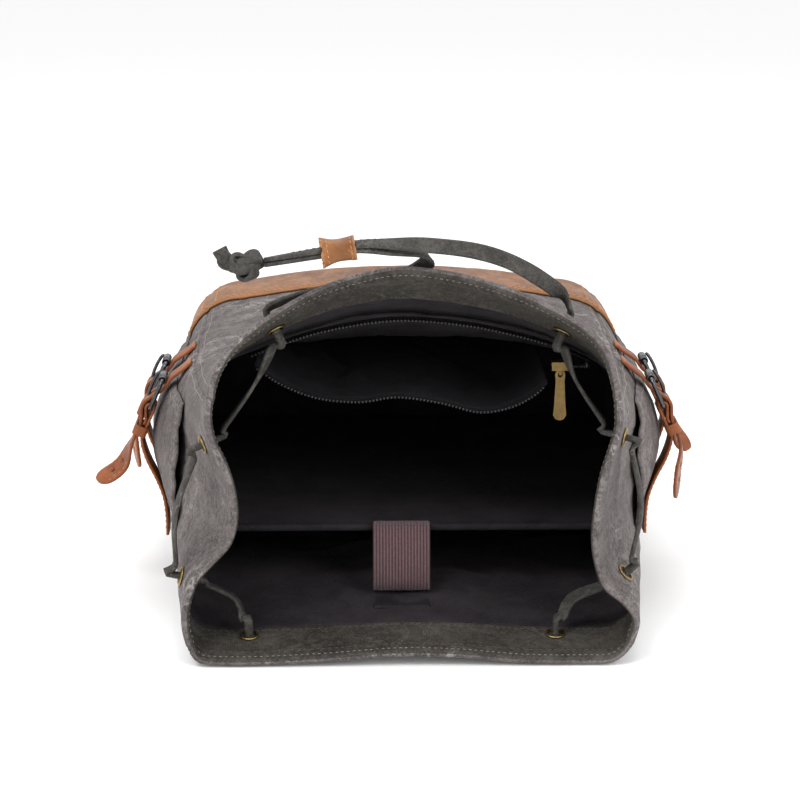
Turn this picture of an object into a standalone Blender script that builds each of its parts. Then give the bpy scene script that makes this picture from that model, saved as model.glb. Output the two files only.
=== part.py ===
"""A travel backpack of waxed canvas and leather, lying on its back with its drawstring mouth held open.

Run it with: blender --background --python part.py
Metres, +Z up. The bag lies on its back panel: the mouth faces -Y, the leather base +Y and the front panel +Z.
Positions along the bag are given by `along`, the distance from the mouth's rim towards the base.
"""

import math

import bmesh
import bpy
from mathutils import Matrix, Vector

MM = 0.001

# ---- driving dimensions -------------------------------------------------------------------------
BAG_LENGTH = 438 * MM  # rim to base
BODY_WIDTH = 316 * MM
BODY_TOP = 177 * MM  # height of the front panel's crown above the floor
BODY_SHOULDER = 11 * MM  # how far the front panel falls from its crown to its corners
BACK_HEIGHT = 22 * MM  # height of the back panel above the floor, over the shoulder straps
CORNER_RADIUS = 40 * MM
CENTRE_SHIFT = 5 * MM  # the strap ends reach further on the left, so the bag sits a little to the right
BASE_CORNER = 26 * MM  # rounding of the base's edge, seen from the side
FLARE_LENGTH = 190 * MM  # how far from the rim the mouth's shape fades into the body's
FLARE_POWER = 1.5
RIM_LEAN = 0.06  # how much further back the rim lies for each metre of height
REST_START = 330 * MM  # from here the back panel comes down to the floor
REST_LENGTH = 62 * MM
CLEAR = 0.3 * MM  # gap between two pieces that touch

CANVAS = 2.0 * MM
FACING = 1.5 * MM
LINING = 1.0 * MM
LEATHER = 2.2 * MM
FACING_WIDTH = 45 * MM
LEATHER_START = 348 * MM
LEATHER_LAP = 18 * MM  # how far the canvas runs on inside the leather

EYELET_DEPTH = 33 * MM
EYELET_BORE = 4.4 * MM
EYELET_WALL = 0.7 * MM
EYELET_FLANGE = 6.1 * MM
EYELET_GAP = 1.0 * MM
EYELET_SHEET = 0.6 * MM
DRAWSTRING = 4.0 * MM  # diameter of the folded strip where it runs through the eyelets

STRAP_WIDTH = 19 * MM
STRAP_THICK = 2.2 * MM
WIRE = 1.5 * MM  # radius of the buckle frame's wire
BUCKLE_LENGTH = 21 * MM  # pivot bar to roller bar
BUCKLE_WIDTH = 26 * MM
ROLLER_RADIUS = 2.9 * MM
RUNNING = 0.35 * MM  # radial clearance of what turns on a bar
PRONG = 1.2 * MM
BUCKLE_PIVOT_HEIGHT = 127 * MM
BUCKLE_TILT = math.radians(24)  # the roller leans in towards the front panel's corner
BUCKLE_ALONG = {"upper": 173 * MM, "lower": 229 * MM}

# The mouth's outline at the rim, counter-clockwise seen from the mouth, as (across, height) in millimetres.
RIM_BACK = [
    (-139, 11), (-133, 3), (-118, 0.9), (-90, 1), (-50, 3), (-8, 6), (30, 5),
    (68, 1.5), (105, 0.9), (126, 2), (137, 11),
]
RIM_RIGHT = [
    (137, 11), (141, 29), (133, 41), (121, 51), (116, 65), (114, 81), (116, 102),
    (119, 119), (124, 135), (128, 149), (128, 169),
]
RIM_FRONT = [
    (128, 169), (122, 193), (113, 207), (90, 223), (54, 239), (23, 247), (-8, 250),
    (-38, 244), (-62, 235), (-86, 221), (-109, 203), (-120, 186), (-125, 169),
]
RIM_LEFT = [
    (-125, 169), (-126, 155), (-123, 141), (-116, 126), (-111, 109), (-110, 93), (-114, 79),
    (-124, 68), (-135, 56), (-141, 39), (-142, 25), (-139, 11),
]

PANEL_SEGMENTS = {"back": 8, "right": 10, "front": 11, "left": 10}
STATIONS = [v * MM for v in (0, 12, 23, 34, 45.3, 62, 84, 111, 145, 188, 250, 330)]

LEATHER_TAN = (0.42, 0.17, 0.06)
CANVAS_GREY = (0.20, 0.18, 0.17)
LINING_DARK = (0.02, 0.018, 0.022)
BRASS = (0.42, 0.32, 0.16)
GUNMETAL = (0.16, 0.16, 0.17)
ELASTIC = (0.11, 0.055, 0.06)


# ---- scene, materials and helpers ---------------------------------------------------------------
for old in list(bpy.data.objects):
    bpy.data.objects.remove(old)
bag = bpy.data.collections.new("travel_backpack")
cutters = bpy.data.collections.new("cutters")
bpy.context.scene.collection.children.link(bag)
bpy.context.scene.collection.children.link(cutters)


def material(name, colour, roughness, metallic=0.0):
    made = bpy.data.materials.new(name)
    made.use_nodes = True
    shader = made.node_tree.nodes["Principled BSDF"]
    shader.inputs["Base Color"].default_value = (*colour, 1)
    shader.inputs["Roughness"].default_value = roughness
    shader.inputs["Metallic"].default_value = metallic
    return made


canvas_cloth = material("waxed_canvas", CANVAS_GREY, 0.85)
lining_cloth = material("lining_twill", LINING_DARK, 0.9)
tan_leather = material("tan_leather", LEATHER_TAN, 0.55)
antique_brass = material("antique_brass", BRASS, 0.35, 1.0)
gunmetal = material("gunmetal", GUNMETAL, 0.3, 1.0)
elastic_web = material("elastic_web", ELASTIC, 0.85)
board = material("board", (0.25, 0.2, 0.15), 0.9)


def add_object(name, mesh, finish, collection=bag):
    mesh.materials.clear()
    mesh.materials.append(finish)
    made = bpy.data.objects.new(name, mesh)
    collection.objects.link(made)
    return made


def mesh_from(name, points, faces):
    made = bpy.data.meshes.new(name)
    made.from_pydata([tuple(p) for p in points], [], faces)
    shape = bmesh.new()
    shape.from_mesh(made)
    bmesh.ops.remove_doubles(shape, verts=shape.verts, dist=1e-6)
    bmesh.ops.recalc_face_normals(shape, faces=shape.faces)
    if shape.calc_volume(signed=True) < 0:
        bmesh.ops.reverse_faces(shape, faces=shape.faces)
    shape.to_mesh(made)
    shape.free()
    made.shade_smooth()
    made.set_sharp_from_angle(angle=math.radians(40))
    return made


def slab(outer, inner, ring=False):
    """Points and faces of the closed solid between two grids of points, which close on themselves if ring."""
    rows, columns = len(outer), len(outer[0])
    points = [p for row in outer for p in row] + [p for row in inner for p in row]
    half = rows * columns
    faces = []

    def quad(a, b, c, d):
        faces.append((a, b, c, d))

    last = columns if ring else columns - 1
    for i in range(rows - 1):
        for j in range(last):
            k = (j + 1) % columns
            a, b, c, d = i * columns + j, i * columns + k, (i + 1) * columns + k, (i + 1) * columns + j
            faces += [(a, b, c), (a, c, d), (half + c, half + b, half + a), (half + d, half + c, half + a)]
    for j in range(last):
        k = (j + 1) % columns
        quad(k, j, half + j, half + k)
        e = (rows - 1) * columns
        quad(e + j, e + k, half + e + k, half + e + j)
    if not ring:
        for i in range(rows - 1):
            a, d = i * columns, (i + 1) * columns
            quad(a, d, half + d, half + a)
            b, c = a + columns - 1, d + columns - 1
            quad(c, b, half + b, half + c)
    return points, faces


def catmull(points, steps):
    """A smooth open curve through the points, with `steps` pieces between each two."""
    pts = [Vector(p) for p in points]
    ends = [pts[0] * 2 - pts[1], *pts, pts[-1] * 2 - pts[-2]]
    made = []
    for a, b, c, d in zip(ends, ends[1:], ends[2:], ends[3:]):
        ka = 0.0
        kb = ka + max((b - a).length, 1e-9) ** 0.5
        kc = kb + max((c - b).length, 1e-9) ** 0.5
        kd = kc + max((d - c).length, 1e-9) ** 0.5
        for k in range(steps):
            t = kb + (kc - kb) * k / steps
            ab = a.lerp(b, (t - ka) / (kb - ka))
            bc = b.lerp(c, (t - kb) / (kc - kb))
            cd = c.lerp(d, (t - kc) / (kd - kc))
            abc, bcd = ab.lerp(bc, (t - ka) / (kc - ka)), bc.lerp(cd, (t - kb) / (kd - kb))
            made.append(abc.lerp(bcd, (t - kb) / (kc - kb)))
    return [*made, pts[-1]]


def resampled(points, count):
    """`count` + 1 points at even distances along a line of points."""
    runs = [0.0]
    for a, b in zip(points, points[1:]):
        runs.append(runs[-1] + (b - a).length)
    made = []
    k = 0
    for n in range(count + 1):
        want = runs[-1] * n / count
        while k < len(runs) - 2 and runs[k + 1] < want:
            k += 1
        share = (want - runs[k]) / max(runs[k + 1] - runs[k], 1e-12)
        made.append(points[k].lerp(points[k + 1], min(max(share, 0), 1)))
    return made


# ---- the bag's surface --------------------------------------------------------------------------
FINE = 120  # points along each panel of an outline, before a grid picks from them


def rim_outline():
    """The mouth's outline, as a dict of panel name to points (across, height) at even distances."""
    made = {}
    for name, points in (("back", RIM_BACK), ("right", RIM_RIGHT), ("front", RIM_FRONT), ("left", RIM_LEFT)):
        smooth = catmull([(x * MM, z * MM) for x, z in points], 8)
        made[name] = resampled(smooth, FINE)
    return made


def body_outline(back_height):
    """The body's outline, a rounded rectangle with a crowned front, as rim_outline gives the mouth's."""
    half, r = BODY_WIDTH / 2, CORNER_RADIUS
    top = BODY_TOP - BODY_SHOULDER
    low = r * 0.8

    def arc(cx, cz, radius, start, end):
        steps = 8
        turns = [math.radians(start + (end - start) * k / steps) for k in range(steps + 1)]
        return [Vector((cx + radius * math.cos(t), cz + radius * math.sin(t))) for t in turns]

    back = [*arc(-half + low, back_height + low, low, 225, 270), *arc(half - low, back_height + low, low, 270, 315)]
    right = [*arc(half - low, back_height + low, low, 315, 360), *arc(half - r, top - r, r, 0, 50)]
    crown = [
        Vector((x, top + BODY_SHOULDER * (1 - (x / (half - r)) ** 2)))
        for x in [(half - r) * (1 - k / 8) for k in range(1, 16)]
    ]
    front = [*arc(half - r, top - r, r, 50, 90), *crown, *arc(-half + r, top - r, r, 90, 130)]
    left = [*arc(-half + r, top - r, r, 130, 180), *arc(-half + low, back_height + low, low, 180, 225)]
    panels = {"back": back, "right": right, "front": front, "left": left}
    return {name: resampled(points, FINE) for name, points in panels.items()}


RIM = rim_outline()
BODY = body_outline(BACK_HEIGHT)
BODY_AT_BASE = body_outline(LEATHER + CLEAR)


def smoothstep(t):
    t = min(max(t, 0.0), 1.0)
    return t * t * (3 - 2 * t)


def at(outline, panel, t):
    place = min(max(t, 0.0), 1.0) * FINE
    k = min(int(place), FINE - 1)
    return outline[panel][k].lerp(outline[panel][k + 1], place - k)


def wall(panel, t, along):
    """A point of the bag's outer surface. t runs from 0 to 1 across the panel."""
    flare = max(0.0, 1 - along / FLARE_LENGTH) ** FLARE_POWER
    body = at(BODY, panel, t).lerp(at(BODY_AT_BASE, panel, t), smoothstep((along - REST_START) / REST_LENGTH))
    p = body.lerp(at(RIM, panel, t), flare)
    over = along - (BAG_LENGTH - BASE_CORNER)
    centre = Vector((0, (BODY_TOP + BACK_HEIGHT) / 2))
    reach = 0.0
    if over > 0:
        turn = math.asin(min(over / BASE_CORNER, 1.0))
        reach = BASE_CORNER * (1 - math.cos(turn))
        away = p - centre
        p = centre + away * (1 - reach / away.length)
    lean = RIM_LEAN * p.y * flare
    return Vector((p.x, along + lean - BAG_LENGTH / 2, p.y))


def normal(panel, t, along):
    """The outward normal of the bag's surface there."""
    d, e = 0.012, 2 * MM
    across = wall(panel, t + d, along) - wall(panel, t - d, along) if d < t < 1 - d else (
        wall(panel, min(t + d, 1), along) - wall(panel, max(t - d, 0), along))
    if t < d or t > 1 - d:
        order = ["back", "right", "front", "left"]
        other = order[(order.index(panel) + (1 if t > 0.5 else -1)) % 4]
        near = wall(other, d if t > 0.5 else 1 - d, along)
        here = wall(panel, 1 - d if t > 0.5 else d, along)
        across = near - here if t > 0.5 else here - near
    down = wall(panel, t, along + e) - wall(panel, t, max(along - e, 0))
    return down.cross(across).normalized()


def layer(panel, t, along, depth):
    """A point `depth` inside the bag's outer surface, or outside it where depth is negative."""
    return wall(panel, t, along) - normal(panel, t, along) * depth


def panel_grid(panel, stations, depth, gap=0.0, lows=None):
    """Rows of points across one panel, one row a station, with `gap` left at the seams on both sides."""
    count = PANEL_SEGMENTS[panel]
    length = sum((a - b).length for a, b in zip(BODY[panel], BODY[panel][1:]))
    edge = gap / length
    rows = []
    for s in stations:
        row = []
        for k in range(count + 1):
            t = k / count
            t = edge if k == 0 and gap else 1 - edge if k == count and gap else t
            row.append(layer(panel, t, s, depth))
        rows.append(row)
    return rows


def ring_grid(stations, depth):
    """Rows of points all the way round the bag."""
    rows = []
    for s in stations:
        row = []
        for panel in ("back", "right", "front", "left"):
            count = PANEL_SEGMENTS[panel]
            row += [layer(panel, k / count, s, depth) for k in range(count)]
        rows.append(row)
    return rows


def cut(piece, cutter):
    change = piece.modifiers.new("cut_" + cutter.name, "BOOLEAN")
    change.operation = "DIFFERENCE"
    change.solver = "EXACT"
    change.object = cutter


def join_to(piece, other):
    change = piece.modifiers.new("join_" + other.name, "BOOLEAN")
    change.operation = "UNION"
    change.solver = "EXACT"
    change.object = other
    for home in list(other.users_collection):
        home.objects.unlink(other)
    cutters.objects.link(other)
    hide(other)


def hide(cutter):
    cutter.hide_render = True
    cutter.display_type = "WIRE"


# ---- eyelets and their holes --------------------------------------------------------------------
# (panel, share across it) of each eyelet, in the order that the drawstring passes them.
EYELETS = [
    ("front", 0.79), ("left", 0.215), ("left", 0.79), ("back", 0.15),
    ("back", 0.82), ("right", 0.24), ("right", 0.81), ("front", 0.19),
]


def eyelet_place(index):
    panel, t = EYELETS[index]
    return layer(panel, t, EYELET_DEPTH, 0), normal(panel, t, EYELET_DEPTH)


def facing_outwards(place, direction):
    return Matrix.Translation(place) @ direction.to_track_quat("Z", "Y").to_matrix().to_4x4()


def eyelet_shape():
    """A turned ring: a barrel through the cloth with a flange on each face. Z runs out of the bag."""
    low = -(CANVAS + CLEAR + FACING + EYELET_GAP)
    bore, barrel, flange = EYELET_BORE, EYELET_BORE + EYELET_WALL, EYELET_FLANGE
    profile = [
        (bore, EYELET_GAP + EYELET_SHEET), (flange, EYELET_GAP + EYELET_SHEET), (flange, EYELET_GAP),
        (barrel, EYELET_GAP), (barrel, low), (flange, low), (flange, low - EYELET_SHEET),
        (bore, low - EYELET_SHEET),
    ]
    sides = 12
    points = []
    for k in range(sides):
        turn = 2 * math.pi * k / sides
        points += [Vector((r * math.cos(turn), r * math.sin(turn), z)) for r, z in profile]
    n = len(profile)
    faces = []
    for k in range(sides):
        for i in range(n):
            a, b = k * n + i, k * n + (i + 1) % n
            c, d = ((k + 1) % sides) * n + (i + 1) % n, ((k + 1) % sides) * n + i
            faces.append((a, b, c, d))
    return points, faces


def build_eyelets():
    ring = mesh_from("eyelet", *eyelet_shape())
    for index in range(len(EYELETS)):
        eyelet = add_object(f"eyelet_{index + 1}", ring, antique_brass)
        eyelet.matrix_world = facing_outwards(*eyelet_place(index))


def build_hole_cutter():
    """One mesh of eight plugs, which cuts the eyelets' holes through canvas and facing."""
    shape = bmesh.new()
    for index in range(len(EYELETS)):
        bmesh.ops.create_cone(
            shape, cap_ends=True, segments=12, radius1=EYELET_BORE + EYELET_WALL + CLEAR,
            radius2=EYELET_BORE + EYELET_WALL + CLEAR, depth=24 * MM,
            matrix=facing_outwards(*eyelet_place(index)),
        )
    made = bpy.data.meshes.new("hole_cutter")
    shape.to_mesh(made)
    shape.free()
    cutter = add_object("hole_cutter", made, board, cutters)
    hide(cutter)
    return cutter


# ---- shell, facing, lining, base ----------------------------------------------------------------
def build_shell(hole_cutter):
    stations = [*STATIONS, LEATHER_START, LEATHER_START + LEATHER_LAP]
    names = {
        "back": "back_panel", "right": "side_panel_right", "front": "front_panel", "left": "side_panel_left",
    }
    for panel, name in names.items():
        solid = slab(panel_grid(panel, stations, 0, CLEAR / 2), panel_grid(panel, stations, CANVAS, CLEAR / 2))
        cut(add_object(name, mesh_from(name, *solid), canvas_cloth), hole_cutter)


def build_facing(hole_cutter):
    stations = [s for s in STATIONS if s < FACING_WIDTH] + [FACING_WIDTH]
    depth = CANVAS + CLEAR
    solid = slab(ring_grid(stations, depth), ring_grid(stations, depth + FACING), ring=True)
    cut(add_object("mouth_facing", mesh_from("mouth_facing", *solid), canvas_cloth), hole_cutter)


def closed_cup(stations, outside, inside, bottom):
    """A sack or cup: walls between two depths, and an end wall of thickness `bottom` at the base."""
    outer = ring_grid(stations, outside)
    inner = ring_grid(stations[:-1] + [stations[-1] - bottom], inside)
    columns = len(outer[0])
    points = [p for row in outer for p in row] + [p for row in inner for p in row]
    half = len(outer) * columns
    faces = []
    for i in range(len(outer) - 1):
        for j in range(columns):
            k = (j + 1) % columns
            a, b, c, d = i * columns + j, i * columns + k, (i + 1) * columns + k, (i + 1) * columns + j
            faces += [(a, b, c), (a, c, d), (half + c, half + b, half + a), (half + d, half + c, half + a)]
    for j in range(columns):
        k = (j + 1) % columns
        faces.append((k, j, half + j, half + k))
    end = (len(outer) - 1) * columns
    for start, turned in ((end, False), (half + end, True)):
        centre = sum((points[start + j] for j in range(columns)), Vector()) / columns
        points.append(centre)
        hub = len(points) - 1
        for j in range(columns):
            k = (j + 1) % columns
            faces.append((start + k, start + j, hub) if turned else (start + j, start + k, hub))
    return points, faces


SETTLED = REST_START + REST_LENGTH - 4 * MM  # the back panel has come down to the floor
BASE_STATIONS = [BAG_LENGTH - BASE_CORNER * (1 - math.sin(math.radians(a))) for a in (0, 35, 62, 80)]


def build_leather_base():
    stations = [LEATHER_START, LEATHER_START + LEATHER_LAP, SETTLED, *BASE_STATIONS]
    solid = closed_cup(stations, -(CLEAR + LEATHER), -CLEAR, LEATHER)
    add_object("leather_base", mesh_from("leather_base", *solid), tan_leather)


LINING_DEPTH = CANVAS + CLEAR
LINING_END = 9 * MM  # how far the lining's bottom stays inside the base


def build_lining():
    stations = [FACING_WIDTH + CLEAR, *[s for s in STATIONS if s > FACING_WIDTH + 1 * MM]]
    stations += [LEATHER_START, LEATHER_START + LEATHER_LAP, SETTLED]
    stations += [s - LINING_END for s in BASE_STATIONS[:-1]]
    solid = closed_cup(stations, LINING_DEPTH, LINING_DEPTH + LINING, LINING)
    add_object("lining", mesh_from("lining", *solid), lining_cloth)


def build_base_board():
    """The stiffener between the leather base and the lining's bottom."""
    far = BASE_STATIONS[-1] - LEATHER - CLEAR
    near = BASE_STATIONS[-2] - LINING_END + CLEAR + 1.5 * MM
    inset = 7 * MM
    panels = ("back", "right", "front", "left")
    outer = [layer(panel, k / 6, BASE_STATIONS[-2], inset) for panel in panels for k in range(6)]
    rows = []
    for s in (near, far):
        rows.append([Vector((q.x, s - BAG_LENGTH / 2, q.z)) for q in outer])
    columns = len(outer)
    points = rows[0] + rows[1]
    faces = [(j, (j + 1) % columns, columns + (j + 1) % columns, columns + j) for j in range(columns)]
    faces += [tuple(range(columns - 1, -1, -1)), tuple(range(columns, 2 * columns))]
    add_object("base_board", mesh_from("base_board", points, faces), board)


# ---- strips: leather straps, elastic and the like -----------------------------------------------
def strip(name, path, width, thick, finish, place, steps=3):
    """A flat strap: its side view is the path made `thick`, extruded to `width`.

    path is in the strap's own plane; place maps (first, second, along the width) to the bag.
    """
    line = catmull([(a, b, 0) for a, b in path], steps) if steps > 1 else [Vector((a, b, 0)) for a, b in path]
    sides = ([], [])
    for k, p in enumerate(line):
        before = line[max(k - 1, 0)]
        after = line[min(k + 1, len(line) - 1)]
        run = (after - before).normalized()
        lift = Vector((-run.y, run.x, 0)) * (thick / 2)
        sides[0].append(p + lift)
        sides[1].append(p - lift)
    grids = []
    for side in sides:
        grids.append([[place @ Vector((p.x, p.y, w)) for p in side] for w in (-width / 2, width / 2)])
    return add_object(name, mesh_from(name, *slab(*grids)), finish)


def side_frame(side, pivot_x, along):
    """Maps (out of the buckle's face, towards its roller, along the strap's width) to the bag."""
    lean, rise = math.sin(BUCKLE_TILT), math.cos(BUCKLE_TILT)
    return Matrix((
        (side * rise, -side * lean, 0, side * pivot_x),
        (0, 0, 1, along - BAG_LENGTH / 2),
        (lean, rise, 0, BUCKLE_PIVOT_HEIGHT),
        (0, 0, 0, 1),
    ))


def in_buckle(out, up):
    """A place (out, up) from the pivot bar, square to the bag, in the leaning buckle's own directions."""
    lean, rise = math.sin(BUCKLE_TILT), math.cos(BUCKLE_TILT)
    return out * rise + up * lean, up * rise - out * lean


def wire_loop(name, points, radius, finish, place, cyclic=True):
    data = bpy.data.curves.new(name, "CURVE")
    data.dimensions = "3D"
    data.bevel_depth = radius
    data.bevel_resolution = 2
    data.use_fill_caps = not cyclic
    line = data.splines.new("POLY")
    line.points.add(len(points) - 1)
    for target, p in zip(line.points, points):
        target.co = (*(place @ Vector(p)), 1)
    line.use_cyclic_u = cyclic
    made = bpy.data.objects.new(name, data)
    bag.objects.link(made)
    data.materials.append(finish)
    return made


def turned_ring(bore, outer, length, sides, place):
    """Points and faces of a plain tube about the place's Z axis."""
    points = []
    profile = [(bore, -length / 2), (outer, -length / 2), (outer, length / 2), (bore, length / 2)]
    for k in range(sides):
        turn = 2 * math.pi * k / sides
        points += [place @ Vector((r * math.cos(turn), r * math.sin(turn), z)) for r, z in profile]
    faces = []
    for k in range(sides):
        for i in range(4):
            a, b = k * 4 + i, k * 4 + (i + 1) % 4
            c, d = ((k + 1) % sides) * 4 + (i + 1) % 4, ((k + 1) % sides) * 4 + i
            faces.append((a, b, c, d))
    return points, faces


# ---- side pockets -------------------------------------------------------------------------------
POCKET_START, POCKET_END = 108 * MM, LEATHER_START - 3 * MM
POCKET_BULGE = 12 * MM
POCKET_LOW, POCKET_HIGH = 0.24, 0.86  # shares across the side panel, from the back seam


def pocket_bulge(share, along):
    """How far the side pocket's cloth stands off the side panel."""
    run = (along - POCKET_START) / (POCKET_END - POCKET_START)
    fall = smoothstep((1 - run) / 0.25)
    round_off = math.sin(math.pi * min(max(share, 0), 1)) ** 1.1
    return 2 * CLEAR + POCKET_BULGE * round_off * (0.42 + 0.58 * smoothstep(run * 3)) * fall


def side_share(side, share):
    """The side panel's own parameter at a share of the pocket's width from the back seam up."""
    t = POCKET_LOW + (POCKET_HIGH - POCKET_LOW) * share
    return t if side > 0 else 1 - t


def side_panel_of(side):
    return "right" if side > 0 else "left"


def build_side_pocket(name, side):
    stations = [s for s in STATIONS if POCKET_START + 8 * MM < s < POCKET_END - 30 * MM]
    stations = [POCKET_START, *stations, POCKET_END - 20 * MM, POCKET_END]
    count = 10
    grids = []
    for extra in (CANVAS, 0.0):
        rows = []
        for s in stations:
            row = []
            for k in range(count + 1):
                share = k / count
                depth = -(pocket_bulge(share, s) + extra)
                row.append(layer(side_panel_of(side), side_share(side, share), s, depth))
            rows.append(row)
        grids.append(rows)
    add_object(name, mesh_from(name, *slab(*grids)), canvas_cloth)


# ---- side straps and roller buckles -------------------------------------------------------------
def side_surface(side, along, height):
    """How far out the side's outermost cloth lies at that height."""
    best = None
    for k in range(101):
        share = k / 100
        bulge = pocket_bulge(share, along) + CANVAS if POCKET_START <= along <= POCKET_END else 0.0
        p = layer(side_panel_of(side), side_share(side, share), along, -bulge)
        if best is None or abs(p.z - height) < abs(best.z - height):
            best = p
    return abs(best.x)


TAB_LAYER = 1.9 * MM
KEEPER_THICK = 1.6 * MM
TAB_OFFSET = WIRE + CLEAR + TAB_LAYER / 2  # centre of the tab's leather, from the pivot bar's centre
STRAP_OVER = WIRE + 2 * CLEAR + TAB_LAYER + STRAP_THICK / 2
PIVOT_STAND_OFF = TAB_OFFSET + TAB_LAYER / 2 + KEEPER_THICK + 2.5 * CLEAR

# Free ends beyond the keeper, as (out, up) in millimetres from the pivot bar.
TAILS = {
    ("left", "upper"): [(15.5, -30), (20, -40), (28, -47), (38, -51)],
    ("left", "lower"): [(14, -32), (14, -44), (12, -57)],
    ("right", "upper"): [(13.5, -32), (12, -48), (11, -66)],
    ("right", "lower"): [(15, -30), (19, -39), (26, -45)],
}


def buckle_pivot(side, along):
    near = []
    for down in (26 * MM, 18 * MM, 9 * MM, 0):
        near.append(side_surface(side, along, BUCKLE_PIVOT_HEIGHT - down) - down * math.tan(BUCKLE_TILT))
    return max(near) + PIVOT_STAND_OFF / math.cos(BUCKLE_TILT)


def surface_path(side, along, pivot_x, heights, stand):
    """Points (out, up) that follow the side's cloth at a distance, in a buckle's own frame."""
    made = []
    for h in heights:
        out = side_surface(side, along, h) + stand - pivot_x
        made.append(in_buckle(out, h - BUCKLE_PIVOT_HEIGHT))
    return made


def corner_path(side, along, pivot_x, stand):
    """Points from the seam at the side panel's upper edge towards the buckle, in the buckle's own frame."""
    made = []
    for t in (0.995, 0.96):
        p = layer(side_panel_of(side), t if side > 0 else 1 - t, along, -stand)
        made.append(in_buckle(abs(p.x) - pivot_x, p.z - BUCKLE_PIVOT_HEIGHT))
    return made


def slot_cutter(name, place, low, high, width, depth):
    shape = bmesh.new()
    bmesh.ops.create_cube(shape, size=1)
    grow = Matrix.Diagonal((depth, high - low, width, 1))
    middle = Matrix.Translation((0, (low + high) / 2, 0))
    bmesh.ops.transform(shape, matrix=place @ middle @ grow, verts=shape.verts)
    bmesh.ops.recalc_face_normals(shape, faces=shape.faces)
    made = bpy.data.meshes.new(name)
    shape.to_mesh(made)
    shape.free()
    cutter = add_object(name, made, board, cutters)
    hide(cutter)
    return cutter


def pin(piece, point):
    """Puts a moving piece's origin on its joint's axis."""
    point = Vector(point)
    piece.data.transform(Matrix.Translation(-point))
    piece.location = point


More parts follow.
